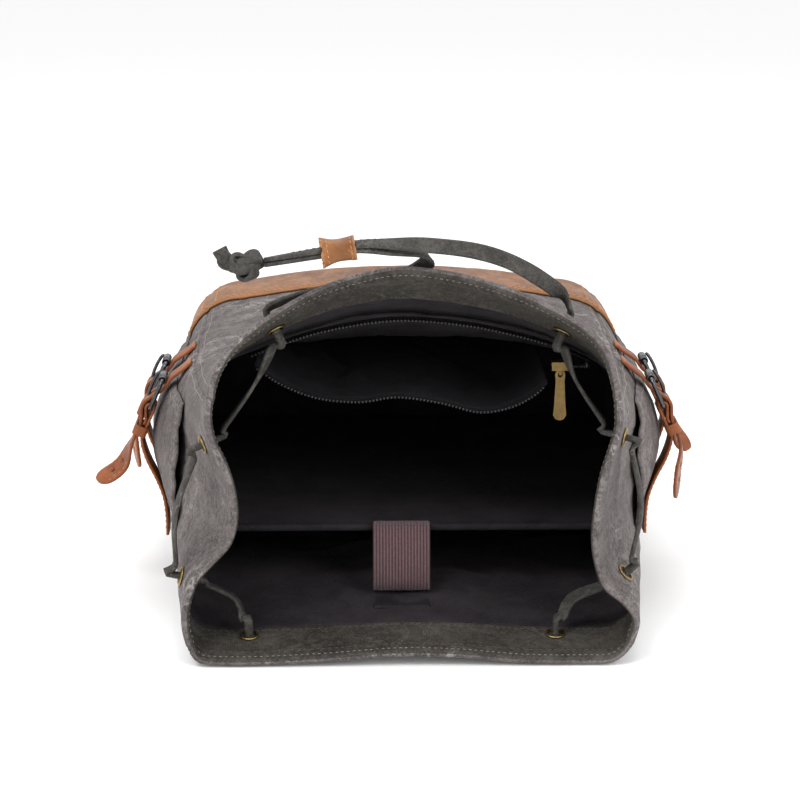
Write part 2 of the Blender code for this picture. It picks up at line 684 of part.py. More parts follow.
def build_buckle(side_name, level):
    side = 1 if side_name == "right" else -1
    along = BUCKLE_ALONG[level]
    pivot_x = buckle_pivot(side, along)
    place = side_frame(side, pivot_x, along)
    label = f"{side_name}_{level}"
    half = BUCKLE_WIDTH / 2
    bend = 3.5 * MM

    # frame: a bent wire with the pivot bar at 0 and the roller bar at BUCKLE_LENGTH
    corners = [(0, half), (BUCKLE_LENGTH, half), (BUCKLE_LENGTH, -half), (0, -half)]
    loop = []
    for k, (up, across) in enumerate(corners):
        to_centre = (math.copysign(bend, BUCKLE_LENGTH / 2 - up), math.copysign(bend, -across))
        for step in (0, 1, 2):
            turn = math.radians((180, 90, 0, -90)[k] - 45 * step)
            corner_up = up + to_centre[0] + bend * math.cos(turn)
            loop.append((0, corner_up, across + to_centre[1] + bend * math.sin(turn)))
    wire_loop(f"buckle_frame_{label}", loop, WIRE, gunmetal, place)

    # roller on the far bar
    roller_place = place @ Matrix.Translation((0, BUCKLE_LENGTH, 0))
    ring = turned_ring(WIRE + RUNNING, ROLLER_RADIUS, BUCKLE_WIDTH - 2 * bend - 1 * MM, 16, roller_place)
    add_object(f"buckle_roller_{label}", mesh_from(f"buckle_roller_{label}", *ring), gunmetal)

    # prong: a ring on the pivot bar and a bent pin that rests on the roller
    ring = turned_ring(WIRE + RUNNING, WIRE + RUNNING + 1.3 * MM, 2 * PRONG, 12, place)
    prong = add_object(f"buckle_prong_{label}", mesh_from(f"buckle_prong_{label}", *ring), gunmetal)
    rest = ROLLER_RADIUS + CLEAR + PRONG
    bent = [
        (WIRE + RUNNING + 0.7 * MM, 0.6 * MM), (4.6 * MM, 7 * MM), (rest + 0.7 * MM, 14 * MM),
        (rest, BUCKLE_LENGTH), (rest - 1 * MM, BUCKLE_LENGTH + 3 * MM),
    ]
    join_to(prong, strip(f"prong_pin_{label}", bent, 2 * PRONG - 0.2 * MM, 2 * PRONG, gunmetal, place, 1))

    # lower strap: from the back seam up over the pocket, round the pivot bar and back on itself
    stand = TAB_LAYER / 2 + CLEAR
    heights = [BUCKLE_PIVOT_HEIGHT - v * MM for v in (88, 76, 62, 50)]
    lower = surface_path(side, along, pivot_x, heights, stand + 0.7 * MM)
    below = -TAB_OFFSET
    turned_back = below + TAB_LAYER + CLEAR
    lower += [in_buckle(3.2 * MM, -34 * MM)]
    lower += [(below, -21 * MM), (below, -12 * MM), (below, 0)]
    lower += [(below * 0.7, TAB_OFFSET * 0.7), (0, TAB_OFFSET)]
    lower += [(TAB_OFFSET * 0.7, TAB_OFFSET * 0.7), (TAB_OFFSET, 0), (1.1 * MM, -4.6 * MM)]
    lower += [(turned_back, -9 * MM), (turned_back, -12 * MM)]
    tab = strip(f"buckle_strap_{label}", lower, STRAP_WIDTH, TAB_LAYER, tan_leather, place, 1)
    cut(tab, slot_cutter(f"tab_slot_{label}", place, -4.2 * MM, 12 * MM, 2 * PRONG + 1.6 * MM, 16 * MM))

    # holed strap: from the front seam down under the roller, over the pivot bar and through the keeper
    under = -(ROLLER_RADIUS + CLEAR + STRAP_THICK / 2)
    surface = corner_path(side, along, pivot_x, STRAP_THICK / 2 + CLEAR + 0.4 * MM)
    keeper_out = below + 2 * (TAB_LAYER + CLEAR) + (STRAP_THICK - TAB_LAYER) / 2
    upper = [*surface, (under - 0.4 * MM, BUCKLE_LENGTH + 2.5 * MM), (under, BUCKLE_LENGTH)]
    upper += [(under + 1.4 * MM, 15.5 * MM), (1.6 * MM, 8.5 * MM)]
    upper += [(STRAP_OVER, 2.5 * MM), (STRAP_OVER + 0.2 * MM, -1.5 * MM), (keeper_out + 1.5 * MM, -7 * MM)]
    upper += [(keeper_out, -13 * MM), (keeper_out + 0.1 * MM, -22 * MM)]
    upper += [in_buckle(a * MM, b * MM) for a, b in TAILS[side_name, level]]
    holed = strip(f"holed_strap_{label}", upper, STRAP_WIDTH, STRAP_THICK, tan_leather, place, 1)
    cut(holed, slot_cutter(f"prong_hole_{label}", place, -2 * MM, 13 * MM, 2 * PRONG + 1.6 * MM, 18 * MM))

    # keeper: a leather band round both straps, sewn to the lower one
    inner_low = below - TAB_LAYER / 2 + 0.4 * MM
    inner_high = keeper_out + STRAP_THICK / 2 + CLEAR
    side_room = STRAP_WIDTH / 2 + CLEAR
    grids = []
    for grow in (KEEPER_THICK, 0.0):
        rows = []
        for b in (-20.5 * MM, -13.5 * MM):
            x0, x1, w = inner_low - grow, inner_high + grow, side_room + grow
            rows.append([place @ Vector(p) for p in ((x0, b, -w), (x1, b, -w), (x1, b, w), (x0, b, w))])
        grids.append(rows)
    keeper = mesh_from(f"keeper_{label}", *slab(*grids, ring=True))
    band = add_object(f"keeper_{label}", keeper, tan_leather, cutters)
    join_to(tab, band)


# ---- drawstring ---------------------------------------------------------------------------------
# Each stretch between two eyelets bows off the straight line by (across, along, height) in millimetres.
STRETCH_BOW = [(6, 8, 2), (-7, -5, 0), (8, 5, 3), (0, 0, 0.2), (-8, 5, 3), (7, -5, 0), (-6, 8, 2)]
TOGGLE_AT = Vector((-44 * MM, -219 * MM, 262 * MM))
TOGGLE_RUN = Vector((-1, -0.03, -0.16)).normalized()  # along both ends, towards the knot
END_PITCH = DRAWSTRING + 1.2 * MM  # the two ends lie this far apart, centre to centre


def through_eyelet(index, outwards):
    """Points that carry the strap through an eyelet: out of the bag if outwards, else into it."""
    place, way = eyelet_place(index)
    wall_thick = CANVAS + CLEAR + FACING
    reach = EYELET_GAP + EYELET_SHEET + DRAWSTRING / 2 + 0.2 * MM
    line = [place - way * (wall_thick + reach), place - way * wall_thick / 2, place + way * reach]
    return line if outwards else line[::-1]


def towards(start, target, length):
    """A point `length` from start in the direction of target."""
    return start + (target - start).normalized() * length


def build_drawstring():
    route = []
    last = len(EYELETS) - 1
    for index in range(len(EYELETS)):
        outwards = index % 2 == 1
        points = through_eyelet(index, outwards)
        if index == 0:
            points = points[1:]
        if index == last:
            points = points[:-1]
        if route:
            bow = STRETCH_BOW[index - 1]
            start, end = route[-1], points[0]
            middle = (start + end) / 2 + Vector([v * MM for v in bow])
            route += [towards(start, middle, 8 * MM), middle, towards(end, middle, 8 * MM)]
        route += points
    wire_loop("drawstring", catmull(route, 2), DRAWSTRING / 2, canvas_cloth, Matrix.Identity(4), cyclic=False)


def toggle_point(run, index):
    """A point of one end beside the toggle, `run` towards the knot from the toggle's middle."""
    side = Vector((0, 0, END_PITCH / 2 if index else -END_PITCH / 2))
    return TOGGLE_AT + TOGGLE_RUN * run + side


KNOT_RUN = 45 * MM  # toggle's middle to knot


def end_route(index):
    """The free end from its front eyelet to the knot: 0 is the left end, 1 the right."""
    eyelet = 0 if index == 0 else len(EYELETS) - 1
    place, way = eyelet_place(eyelet)
    start = place - way * ((CANVAS + CLEAR + FACING) / 2 - 2 * CLEAR)
    out = place + way * 9 * MM
    if index == 0:
        free = [
            (-72, -175, 225), (-48, -175.5, 231.5), (-22, -177.5, 238), (0, -182, 243), (10, -191, 250),
            (7, -203, 257.5), (-8, -213, 260.5),
        ]
    else:
        free = [(93, -184, 227), (80, -195, 239), (59, -203, 252), (38, -209, 259.5), (10, -215, 264), (-12, -218, 265.5)]
    line = [start, out, *[Vector([v * MM for v in p]) for p in free]]
    line += [toggle_point(r * MM, index) for r in (-13, 0, 16, 34)]
    line.append(toggle_point(KNOT_RUN, index))
    return line


def build_ends():
    for index, name in enumerate(("drawstring_end_left", "drawstring_end_right")):
        line = catmull(end_route(index), 4)
        count = max(8, round(sum((a - b).length for a, b in zip(line, line[1:])) / (DRAWSTRING * 2)))
        wire_loop(name, resampled(line, count), DRAWSTRING / 2, canvas_cloth, Matrix.Identity(4), cyclic=False)


def build_knot_and_toggle():
    run = TOGGLE_RUN
    turn = run.to_track_quat("Z", "Y").to_matrix().to_4x4()
    shape = bmesh.new()
    bmesh.ops.create_uvsphere(shape, u_segments=14, v_segments=9, radius=1)
    size = Matrix.Diagonal((11.5 * MM, 9.5 * MM, 15 * MM, 1))
    centre = TOGGLE_AT + run * (KNOT_RUN + 15 * MM + CLEAR)
    bmesh.ops.transform(shape, matrix=Matrix.Translation(centre) @ turn @ size, verts=shape.verts)
    made = bpy.data.meshes.new("drawstring_knot")
    shape.to_mesh(made)
    shape.free()
    add_object("drawstring_knot", made, canvas_cloth)

    # toggle: a leather band whose hole takes both ends; Z along the ends
    place = Matrix.Translation(TOGGLE_AT) @ turn
    up = (place.to_3x3().inverted() @ Vector((0, 0, 1))).normalized()
    spin = Matrix.Rotation(math.atan2(up.y, up.x) - math.pi / 2, 4, "Z")
    place = place @ spin
    half_x = DRAWSTRING / 2 + CLEAR + 0.5 * MM
    half_y = END_PITCH / 2 + DRAWSTRING / 2 + CLEAR + 0.3 * MM
    thick = 2.4 * MM
    grids = []
    for grow in (thick, 0.0):
        rows = []
        for z, flare in ((-10 * MM, 0.0), (0, 0.6 * MM), (10 * MM, 2.4 * MM)):
            x, y = half_x + grow + flare, half_y + grow + flare
            fx, fy = (0.6, 0.55) if grow else (0.8, 0.75)
            loop = [(-x, -y * fy), (-x * fx, -y), (x * fx, -y), (x, -y * fy)]
            loop += [(-a, -b) for a, b in loop]
            rows.append([place @ Vector((a, b, z)) for a, b in loop])
        grids.append(rows)
    add_object("drawstring_toggle", mesh_from("drawstring_toggle", *slab(*grids, ring=True)), tan_leather)


# ---- inside: laptop sleeve, strap, zipped pocket ------------------------------------------------
DIVIDER_HEIGHT = 60 * MM
DIVIDER_THICK = 6 * MM
DIVIDER_START, DIVIDER_END = 96 * MM, 404 * MM
LAPTOP_STRAP_X = -5 * MM
LAPTOP_STRAP_WIDTH = 37 * MM
LAPTOP_STRAP_THICK = 1.6 * MM


def inside_x(along, height):
    """Half the clear width inside the lining at that height, on the narrower side."""
    depth = LINING_DEPTH + LINING
    found = []
    for panel in ("left", "right"):
        near = min((layer(panel, k / 60, along, depth) for k in range(61)), key=lambda p: abs(p.z - height))
        found.append(abs(near.x))
    return min(found)


def lining_height(x, along, front):
    """Height of the lining's inner face over or under a place, on the front or back panel."""
    depth = LINING_DEPTH + LINING
    panel = "front" if front else "back"
    return min((layer(panel, k / 200, along, depth) for k in range(201)), key=lambda p: abs(p.x - x)).z


def build_divider():
    """The padded wall of the laptop sleeve, sewn into the lining at its sides and its lower edge."""
    stations = [DIVIDER_START, 130 * MM, 195 * MM, 300 * MM, DIVIDER_END]
    grids = []
    for z in (DIVIDER_HEIGHT + DIVIDER_THICK, DIVIDER_HEIGHT):
        rows = []
        for s in stations:
            heights = (DIVIDER_HEIGHT + v for v in (0, DIVIDER_THICK / 2, DIVIDER_THICK))
            half = min(inside_x(s, height) for height in heights) - 0.6 * MM
            rows.append([Vector((half * k / 2, s - BAG_LENGTH / 2, z)) for k in range(-2, 3)])
        grids.append(rows)
    add_object("laptop_divider", mesh_from("laptop_divider", *slab(*grids)), lining_cloth)


def lengthwise(x):
    """Maps (along the bag from the rim, height, across) to the bag."""
    return Matrix(((0, 0, 1, x), (1, 0, 0, -BAG_LENGTH / 2), (0, 1, 0, 0), (0, 0, 0, 1)))


STRAP_HINGE = (DIVIDER_START - 1.1 * MM, DIVIDER_HEIGHT + DIVIDER_THICK + CLEAR + LAPTOP_STRAP_THICK / 2)
PATCH_START, PATCH_LENGTH, PATCH_THICK = 66 * MM, 26 * MM, 1.4 * MM


def build_laptop_strap():
    place = lengthwise(LAPTOP_STRAP_X)
    hinge_s, hinge_z = STRAP_HINGE
    floor_z = max(lining_height(LAPTOP_STRAP_X, s, False) for s in (PATCH_START, PATCH_START + PATCH_LENGTH))
    lift = PATCH_THICK + 2 * CLEAR + 0.7 * MM
    patch_end = PATCH_START + PATCH_LENGTH
    lie = floor_z + lift + LAPTOP_STRAP_THICK / 2
    path = [
        (hinge_s - 0.1 * MM, hinge_z), (hinge_s - 6 * MM, hinge_z - 1.5 * MM),
        (hinge_s - 11 * MM, hinge_z - 8 * MM),
        (hinge_s - 14 * MM, hinge_z - 20 * MM), (hinge_s - 15 * MM, (hinge_z + lie) / 2 - 4 * MM),
        (hinge_s - 14 * MM, lie + 7 * MM), (hinge_s - 10 * MM, lie + 1.5 * MM), (patch_end - 3 * MM, lie),
    ]
    strip("laptop_strap", path, LAPTOP_STRAP_WIDTH, LAPTOP_STRAP_THICK, elastic_web, place, 2)
    rows = ([], [])
    for s in (PATCH_START, PATCH_START + PATCH_LENGTH / 2, patch_end):
        xs = [LAPTOP_STRAP_X + LAPTOP_STRAP_WIDTH * v for v in (-0.5, 0, 0.5)]
        nearer = max(s - 5 * MM, 50 * MM)
        base = [max(lining_height(x, s, False), lining_height(x, nearer, False)) + 0.8 * MM for x in xs]
        rows[0].append([Vector((x, s - BAG_LENGTH / 2, z + PATCH_THICK)) for x, z in zip(xs, base)])
        rows[1].append([Vector((x, s - BAG_LENGTH / 2, z)) for x, z in zip(xs, base)])
    add_object("hook_patch", mesh_from("hook_patch", *slab(*rows)), lining_cloth)


ZIP_ALONG = 70 * MM
ZIP_TAPE = 13 * MM
TAPE_ENDS = (-101 * MM, 113 * MM)  # the upper tape's two ends, across the bag
POCKET_DEEP = 235 * MM
# The open pocket's hanging edge, as (across, height) in millimetres at ZIP_ALONG.
ZIP_HANG = [
    (-98, 177), (-84, 167), (-60, 157), (-32, 154), (-8, 157), (20, 153), (45, 147), (66, 151), (80, 159),
    (87, 166),
]
ZIP_SLIDER_X = 95 * MM
ZIP_STOP = 110.5 * MM
BAIL_DROP = 3.6 * MM
SLIDER_HEIGHT = 5.4 * MM


def hang_line(count):
    return resampled(catmull([(x * MM, z * MM) for x, z in ZIP_HANG], 6), count)


def build_zip_pocket():
    """The zipped pocket's cloth under the front panel, hanging open; its far edge meets the lining."""
    count = 14
    edge = hang_line(count)
    grids = []
    for extra in (0.0, 1.0 * MM):
        rows = []
        for share in (0, 0.12, 0.3, 0.5, 0.72, 0.88, 1.0):
            s = ZIP_ALONG + ZIP_TAPE / 2 + CLEAR + (POCKET_DEEP - ZIP_ALONG) * share
            row = []
            for p in edge:
                roof = lining_height(p.x, s, True) - 1.0 * MM
                z = p.y + 0.5 * MM + (roof - p.y - 0.5 * MM) * share**2.2
                row.append(Vector((p.x, s - BAG_LENGTH / 2, min(z, roof) - extra)))
            rows.append(row)
        grids.append(rows)
    add_object("zip_pocket", mesh_from("zip_pocket", *slab(*grids)), lining_cloth)


def tape_solid(name, line, finish):
    """A flat zip tape with its row of teeth, along a line of (across, height) points at ZIP_ALONG."""
    grids = []
    for lift in (0.9 * MM, 0.0):
        rows = []
        for s in (ZIP_ALONG - ZIP_TAPE / 2, ZIP_ALONG + ZIP_TAPE / 2):
            rows.append([Vector((p.x, s - BAG_LENGTH / 2, p.y + lift)) for p in line])
        grids.append(rows)
    return add_object(name, mesh_from(name, *slab(*grids)), finish)


def build_zip():
    low = hang_line(14)
    tape_solid("zip_tape_lower", low, lining_cloth)
    xs = [TAPE_ENDS[0] + (TAPE_ENDS[1] - TAPE_ENDS[0]) * k / 12 for k in range(13)]
    high = [Vector((x, tape_height(x))) for x in xs]
    tape = tape_solid("zip_tape_upper", high, lining_cloth)
    # the closed stretch of teeth beyond the slider, held to the tape by the end stop
    chain = block("zip_chain", (ZIP_SLIDER_X - 3 * MM, ZIP_STOP + 2 * MM), (-2.6 * MM, 2.6 * MM),
                  (chain_height() - 1.1 * MM, chain_height() + 1.1 * MM), cutters)
    stop = block("zip_stop", (ZIP_STOP, ZIP_STOP + 3 * MM), (-2.2 * MM, 2.2 * MM),
                 (chain_height() - 0.8 * MM, tape_height(TAPE_ENDS[1]) + 0.4 * MM), cutters)
    join_to(tape, stop)
    join_to(tape, chain)


def tape_height(x):
    """Height of the upper zip tape, just under the lining."""
    return min(lining_height(x, ZIP_ALONG + v, True) for v in (-ZIP_TAPE / 2, 0, ZIP_TAPE / 2)) - 1.5 * MM


def chain_height():
    """Height of the closed teeth: the slider runs round them with room under the tape."""
    lowest = min(tape_height(ZIP_SLIDER_X + v * MM) for v in (-6, 0, 6, 12, 19))
    return lowest - CLEAR - SLIDER_HEIGHT / 2


def block(name, across, along, up, collection):
    """A box between limits across the bag, about the zip's line along it, and up."""
    limits = (across, tuple(ZIP_ALONG - BAG_LENGTH / 2 + v for v in along), up)
    shape = bmesh.new()
    bmesh.ops.create_cube(shape, size=1)
    grow = Matrix.Diagonal([high - low for low, high in limits] + [1])
    middle = Matrix.Translation([(low + high) / 2 for low, high in limits])
    bmesh.ops.transform(shape, matrix=middle @ grow, verts=shape.verts)
    made = bpy.data.meshes.new(name)
    shape.to_mesh(made)
    shape.free()
    return add_object(name, made, antique_brass, collection)


def build_zip_slider():
    """The slider round the closed teeth, with the pull hanging from the bar of its bail."""
    centre = Vector((ZIP_SLIDER_X, ZIP_ALONG - BAG_LENGTH / 2, chain_height()))
    half = SLIDER_HEIGHT / 2
    slider = block("zip_slider", (centre.x - 5.5 * MM, centre.x + 5.5 * MM), (-4.5 * MM, 4.5 * MM),
                   (centre.z - half, centre.z + half), bag)
    channel = block("slider_channel", (centre.x - 15 * MM, centre.x + 15 * MM), (-2.9 * MM, 2.9 * MM),
                    (centre.z - 1.4 * MM, centre.z + 1.4 * MM), cutters)
    hide(channel)
    cut(slider, channel)
    under = centre - Vector((0, 0, half))
    place = Matrix(((0, 0, 1, under.x), (1, 0, 0, under.y), (0, 1, 0, under.z), (0, 0, 0, 1)))
    side, drop = 2.6 * MM, BAIL_DROP
    bail = strip(
        "slider_bail", [(-side, 0.6 * MM), (-side, -drop + 0.7 * MM), (-side + 0.7 * MM, -drop),
                        (side - 0.7 * MM, -drop), (side, -drop + 0.7 * MM), (side, 0.6 * MM)],
        1.6 * MM, 1.2 * MM, antique_brass, place, 1)
    join_to(slider, bail)
    # pull: a flat tab with an eye round the bail's bar
    hinge = under + Vector((0, 0, -drop))
    outline = [(0, 3.2), (2.4, 2.6), (3.2, 0.6), (2.8, -4), (3.6, -20), (4.2, -26), (2.6, -28.6), (0, -29.4)]
    outline += [(-a, b) for a, b in outline[-2:0:-1]]
    thick = 1.6 * MM
    shape = bmesh.new()
    ring = [shape.verts.new((hinge.x + a * MM, hinge.y - thick / 2, hinge.z + b * MM)) for a, b in outline]
    face = shape.faces.new(ring)
    grown = bmesh.ops.extrude_face_region(shape, geom=[face])
    moved = [v for v in grown["geom"] if isinstance(v, bmesh.types.BMVert)]
    bmesh.ops.translate(shape, verts=moved, vec=(0, thick, 0))
    bmesh.ops.recalc_face_normals(shape, faces=shape.faces)
    made = bpy.data.meshes.new("zip_pull")
    shape.to_mesh(made)
    shape.free()
    pull = add_object("zip_pull", made, antique_brass)
    shape = bmesh.new()
    turn = Matrix.Translation(hinge) @ Matrix.Rotation(math.pi / 2, 4, "X")
    eye_radius = 1.5 * MM
    bmesh.ops.create_cone(
        shape, cap_ends=True, segments=12, radius1=eye_radius, radius2=eye_radius, depth=6 * MM, matrix=turn)
    made = bpy.data.meshes.new("pull_eye")
    shape.to_mesh(made)
    shape.free()
    eye = add_object("pull_eye", made, antique_brass, cutters)
    hide(eye)
    cut(pull, eye)


# ---- front pocket -------------------------------------------------------------------------------
FRONT_POCKET_START, FRONT_POCKET_END = 205 * MM, 336 * MM
FRONT_POCKET_SHARE = (0.27, 0.73)
FRONT_POCKET_DEEP = 7.5 * MM  # room inside the empty pocket
FLAP_START, FLAP_END = 186 * MM, 268 * MM


def front_patch(name, start, end, depths, share, finish):
    """A panel that follows the front panel between two depths, lifted in its middle by the pocket's room."""
    rows, columns = 4, 8
    grids = []
    for depth in depths:
        made = []
        for i in range(rows + 1):
            s = start + (end - start) * i / rows
            row = []
            for k in range(columns + 1):
                t = share[0] + (share[1] - share[0]) * k / columns
                swell = math.sin(math.pi * k / columns) ** 0.6 * smoothstep((1 - i / rows) / 0.3)
                row.append(layer("front", t, s, depth - FRONT_POCKET_DEEP * swell))
            made.append(row)
        grids.append(made)
    return add_object(name, mesh_from(name, *slab(*grids)), finish)


def flap_height():
    """Height of the flap's hinge line, in the middle of its leather."""
    return layer("front", 0.5, FLAP_START, 0).z + CLEAR + LEATHER / 2 + 0.45 * MM


def build_front_pocket():
    depths = (-(CLEAR + CANVAS), -CLEAR)
    front_patch("front_pocket", FRONT_POCKET_START, FRONT_POCKET_END, depths, FRONT_POCKET_SHARE, canvas_cloth)
    # flap: hinged on the front panel just above the pocket's mouth
    place = lengthwise(0)
    crown = [layer("front", 0.5, s, 0).z for s in (FLAP_START, FRONT_POCKET_START, 240 * MM, FLAP_END)]
    hinge = flap_height()
    over = FRONT_POCKET_DEEP + CANVAS + 2 * CLEAR + LEATHER / 2 + 0.9 * MM
    path = [
        (FLAP_START, hinge), (FLAP_START + 9 * MM, hinge + 3.6 * MM),
        (FRONT_POCKET_START - 2 * MM, crown[1] + over), (232 * MM, crown[2] + over),
        (FLAP_END, crown[3] + over),
    ]
    strip("front_pocket_flap", path, 118 * MM, LEATHER, tan_leather, place, 2)


# ---- back: yoke, handle, shoulder straps and the folded lid -------------------------------------
YOKE_START, YOKE_END = 66 * MM, 122 * MM
HANDLE_START = 82 * MM
HANDLE_RADIUS = 3.0 * MM
PAD_BOTTOM, PAD_TOP = 3.2 * MM, 9.6 * MM
LID_THICK = 2.2 * MM
LID_HINGE = 47 * MM
LID_END = 262 * MM
LID_WIDTH = 236 * MM


def build_yoke():
    grids = []
    for depth in (-(CLEAR + LEATHER), -CLEAR):
        rows = []
        for s in (YOKE_START, (YOKE_START + YOKE_END) / 2, YOKE_END):
            rows.append([layer("back", 0.27 + 0.46 * k / 6, s, depth) for k in range(7)])
        grids.append(rows)
    add_object("strap_yoke", mesh_from("strap_yoke", *slab(*grids)), tan_leather)


def handle_height():
    return layer("back", 0.44, HANDLE_START, -(CLEAR + LEATHER)).z - CLEAR - HANDLE_RADIUS - 0.2 * MM


def build_handle():
    z = handle_height()
    loop = [(-20, 0), (-20, 16), (-13, 31), (0, 36), (13, 31), (20, 16), (20, 0)]
    line = catmull([(x * MM, HANDLE_START + s * MM - BAG_LENGTH / 2, z) for x, s in loop], 3)
    wire_loop("carry_handle", line, HANDLE_RADIUS, tan_leather, Matrix.Identity(4), cyclic=False)


def pad_width(share):
    """The padded strap's width at a share of its length."""
    return (46 + 14 * math.sin(math.pi * min(share * 1.1, 1))) * MM


def build_shoulder_straps():
    for name, side in (("left", -1), ("right", 1)):
        place = Matrix.Translation((0, -BAG_LENGTH / 2, (PAD_BOTTOM + PAD_TOP) / 2))
        path = [(52, 108), (58, 150), (76, 205), (92, 255), (100, 292)]
        line = catmull([(side * x * MM, s * MM, 0) for x, s in path], 3)
        grids = []
        for z in (1, -1):
            rows = []
            for edge in (-1, 1):
                row = []
                for k, p in enumerate(line):
                    run = (line[min(k + 1, len(line) - 1)] - line[max(k - 1, 0)]).normalized()
                    across = Vector((-run.y, run.x, 0)) * pad_width(k / (len(line) - 1)) / 2
                    row.append(place @ (p + across * edge + Vector((0, 0, z * (PAD_TOP - PAD_BOTTOM) / 2))))
                rows.append(row)
            grids.append(rows)
        padded = mesh_from(f"shoulder_strap_{name}", *slab(*grids))
        pad = add_object(f"shoulder_strap_{name}", padded, canvas_cloth)
        # the leather strap from the pad's lower end to the base's corner
        low = [(100, 284), (104, 305), (112, 325), (120, 341)]
        tail = catmull([(side * x * MM, s * MM, 0) for x, s in low], 2)
        low_path = [(p.x, p.y) for p in tail]
        lower = strip(f"lower_strap_{name}", low_path, 2.6 * MM, 25 * MM, tan_leather, place, 1)
        join_to(pad, lower)


def lid_hinge_height():
    """Height of the lid's hinge line: it lies just under the lowest of the back panel there."""
    lowest = min(layer("back", 0.1 + 0.8 * k / 40, LID_HINGE, 0).z for k in range(41))
    return lowest - CLEAR - LID_THICK / 2 - 0.2 * MM


def build_lid():
    z0 = lid_hinge_height()
    lie = 0.15 * MM + LID_THICK / 2
    path = [(LID_HINGE, z0), (LID_HINGE + 8 * MM, z0 - 0.6 * MM), (LID_HINGE + 20 * MM, lie), (LID_END, lie)]
    strip("lid_panel", path, LID_WIDTH, LID_THICK, canvas_cloth, lengthwise(0), 1)


def set_origins():
    """Puts each moving piece's origin on its joint's axis, then centres the whole bag with its strap ends."""
    axis = {}
    for side_name, side in (("left", -1), ("right", 1)):
        for level, along in BUCKLE_ALONG.items():
            x = side * buckle_pivot(side, along)
            label = f"{side_name}_{level}"
            axis[f"buckle_prong_{label}"] = (x, along - BAG_LENGTH / 2, BUCKLE_PIVOT_HEIGHT)
            roller = side_frame(side, buckle_pivot(side, along), along) @ Vector((0, BUCKLE_LENGTH, 0))
            axis[f"buckle_roller_{label}"] = roller
    hinge_s, hinge_z = STRAP_HINGE
    axis["laptop_strap"] = (LAPTOP_STRAP_X, hinge_s - BAG_LENGTH / 2, hinge_z)
    axis["zip_slider"] = (ZIP_SLIDER_X, ZIP_ALONG - BAG_LENGTH / 2, chain_height())
    bail_bar = chain_height() - SLIDER_HEIGHT / 2 - BAIL_DROP
    axis["zip_pull"] = (ZIP_SLIDER_X, ZIP_ALONG - BAG_LENGTH / 2, bail_bar)
    axis["front_pocket_flap"] = (0, FLAP_START - BAG_LENGTH / 2, flap_height())
    axis["carry_handle"] = (0, HANDLE_START - BAG_LENGTH / 2, handle_height())
    axis["lid_panel"] = (0, LID_HINGE - BAG_LENGTH / 2, lid_hinge_height())
    axis["drawstring_toggle"] = TOGGLE_AT
    for name, point in axis.items():
        pin(bpy.data.objects[name], point)
    for piece in [*bag.objects, *cutters.objects]:
        piece.location.x += CENTRE_SHIFT


hole_cutter = build_hole_cutter()
build_eyelets()
build_shell(hole_cutter)
build_facing(hole_cutter)
build_leather_base()
build_lining()
build_base_board()
for side_name, side in (("left", -1), ("right", 1)):
    build_side_pocket(f"side_pocket_{side_name}", side)
    for level in BUCKLE_ALONG:
        build_buckle(side_name, level)
build_drawstring()
build_ends()
build_knot_and_toggle()
build_divider()
build_laptop_strap()
build_zip_pocket()
build_zip()
build_zip_slider()
build_front_pocket()
build_yoke()
build_handle()
build_shoulder_straps()
build_lid()
set_origins()
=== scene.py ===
"""The looks of a waxed canvas and leather travel backpack that lies on its back with its mouth held open.

Metres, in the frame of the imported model: the mouth faces -Y, the leather base +Y and the front panel +Z.
The bag's wall is one surface, read by `ring`, a place round the bag from 0 to 4 that counts the back, right,
front and left panels, and by `along`, the distance from the mouth's rim towards the base.
"""

import math

import bmesh
import bpy
import numpy as np
from mathutils import Matrix, Vector, noise


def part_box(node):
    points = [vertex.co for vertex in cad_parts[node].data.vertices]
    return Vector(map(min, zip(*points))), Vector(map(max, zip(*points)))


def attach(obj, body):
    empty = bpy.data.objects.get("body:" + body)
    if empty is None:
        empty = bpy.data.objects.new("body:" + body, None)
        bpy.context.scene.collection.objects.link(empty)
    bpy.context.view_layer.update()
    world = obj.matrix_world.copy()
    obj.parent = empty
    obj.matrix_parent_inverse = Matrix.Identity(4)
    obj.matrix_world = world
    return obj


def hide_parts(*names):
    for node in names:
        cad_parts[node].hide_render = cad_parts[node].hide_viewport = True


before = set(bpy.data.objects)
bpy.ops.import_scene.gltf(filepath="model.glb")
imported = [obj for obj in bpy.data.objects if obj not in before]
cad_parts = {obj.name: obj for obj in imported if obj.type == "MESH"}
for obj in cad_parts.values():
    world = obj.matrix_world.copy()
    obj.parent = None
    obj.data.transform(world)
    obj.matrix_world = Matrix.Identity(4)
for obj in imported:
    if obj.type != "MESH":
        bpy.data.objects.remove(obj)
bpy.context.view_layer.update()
MM = 0.001

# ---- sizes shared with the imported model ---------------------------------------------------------
BAG_LENGTH = 438 * MM
BODY_WIDTH, BODY_TOP, BODY_SHOULDER = 316 * MM, 177 * MM, 11 * MM
BACK_HEIGHT, CORNER_RADIUS, BASE_CORNER = 22 * MM, 40 * MM, 26 * MM
CENTRE_SHIFT = 5 * MM
FLARE_LENGTH, FLARE_POWER, RIM_LEAN = 190 * MM, 1.5, 0.06
REST_START, REST_LENGTH = 330 * MM, 62 * MM
CLEAR, CANVAS, FACING, LINING, LEATHER = 0.3 * MM, 2.0 * MM, 1.5 * MM, 1.0 * MM, 2.2 * MM
FACING_WIDTH, LEATHER_START, LEATHER_LAP = 45 * MM, 348 * MM, 18 * MM
EYELET_DEPTH = 33 * MM
BUCKLE_PIVOT_HEIGHT, BUCKLE_BAR, BUCKLE_TILT = 127 * MM, 21 * MM, math.radians(24)
BUCKLE_ALONG = {"upper": 173 * MM, "lower": 229 * MM}
RIM_BACK = [
    (-139, 11), (-133, 3), (-118, 0.9), (-90, 1), (-50, 3), (-8, 6), (30, 5),
    (68, 1.5), (105, 0.9), (126, 2), (137, 11),
]
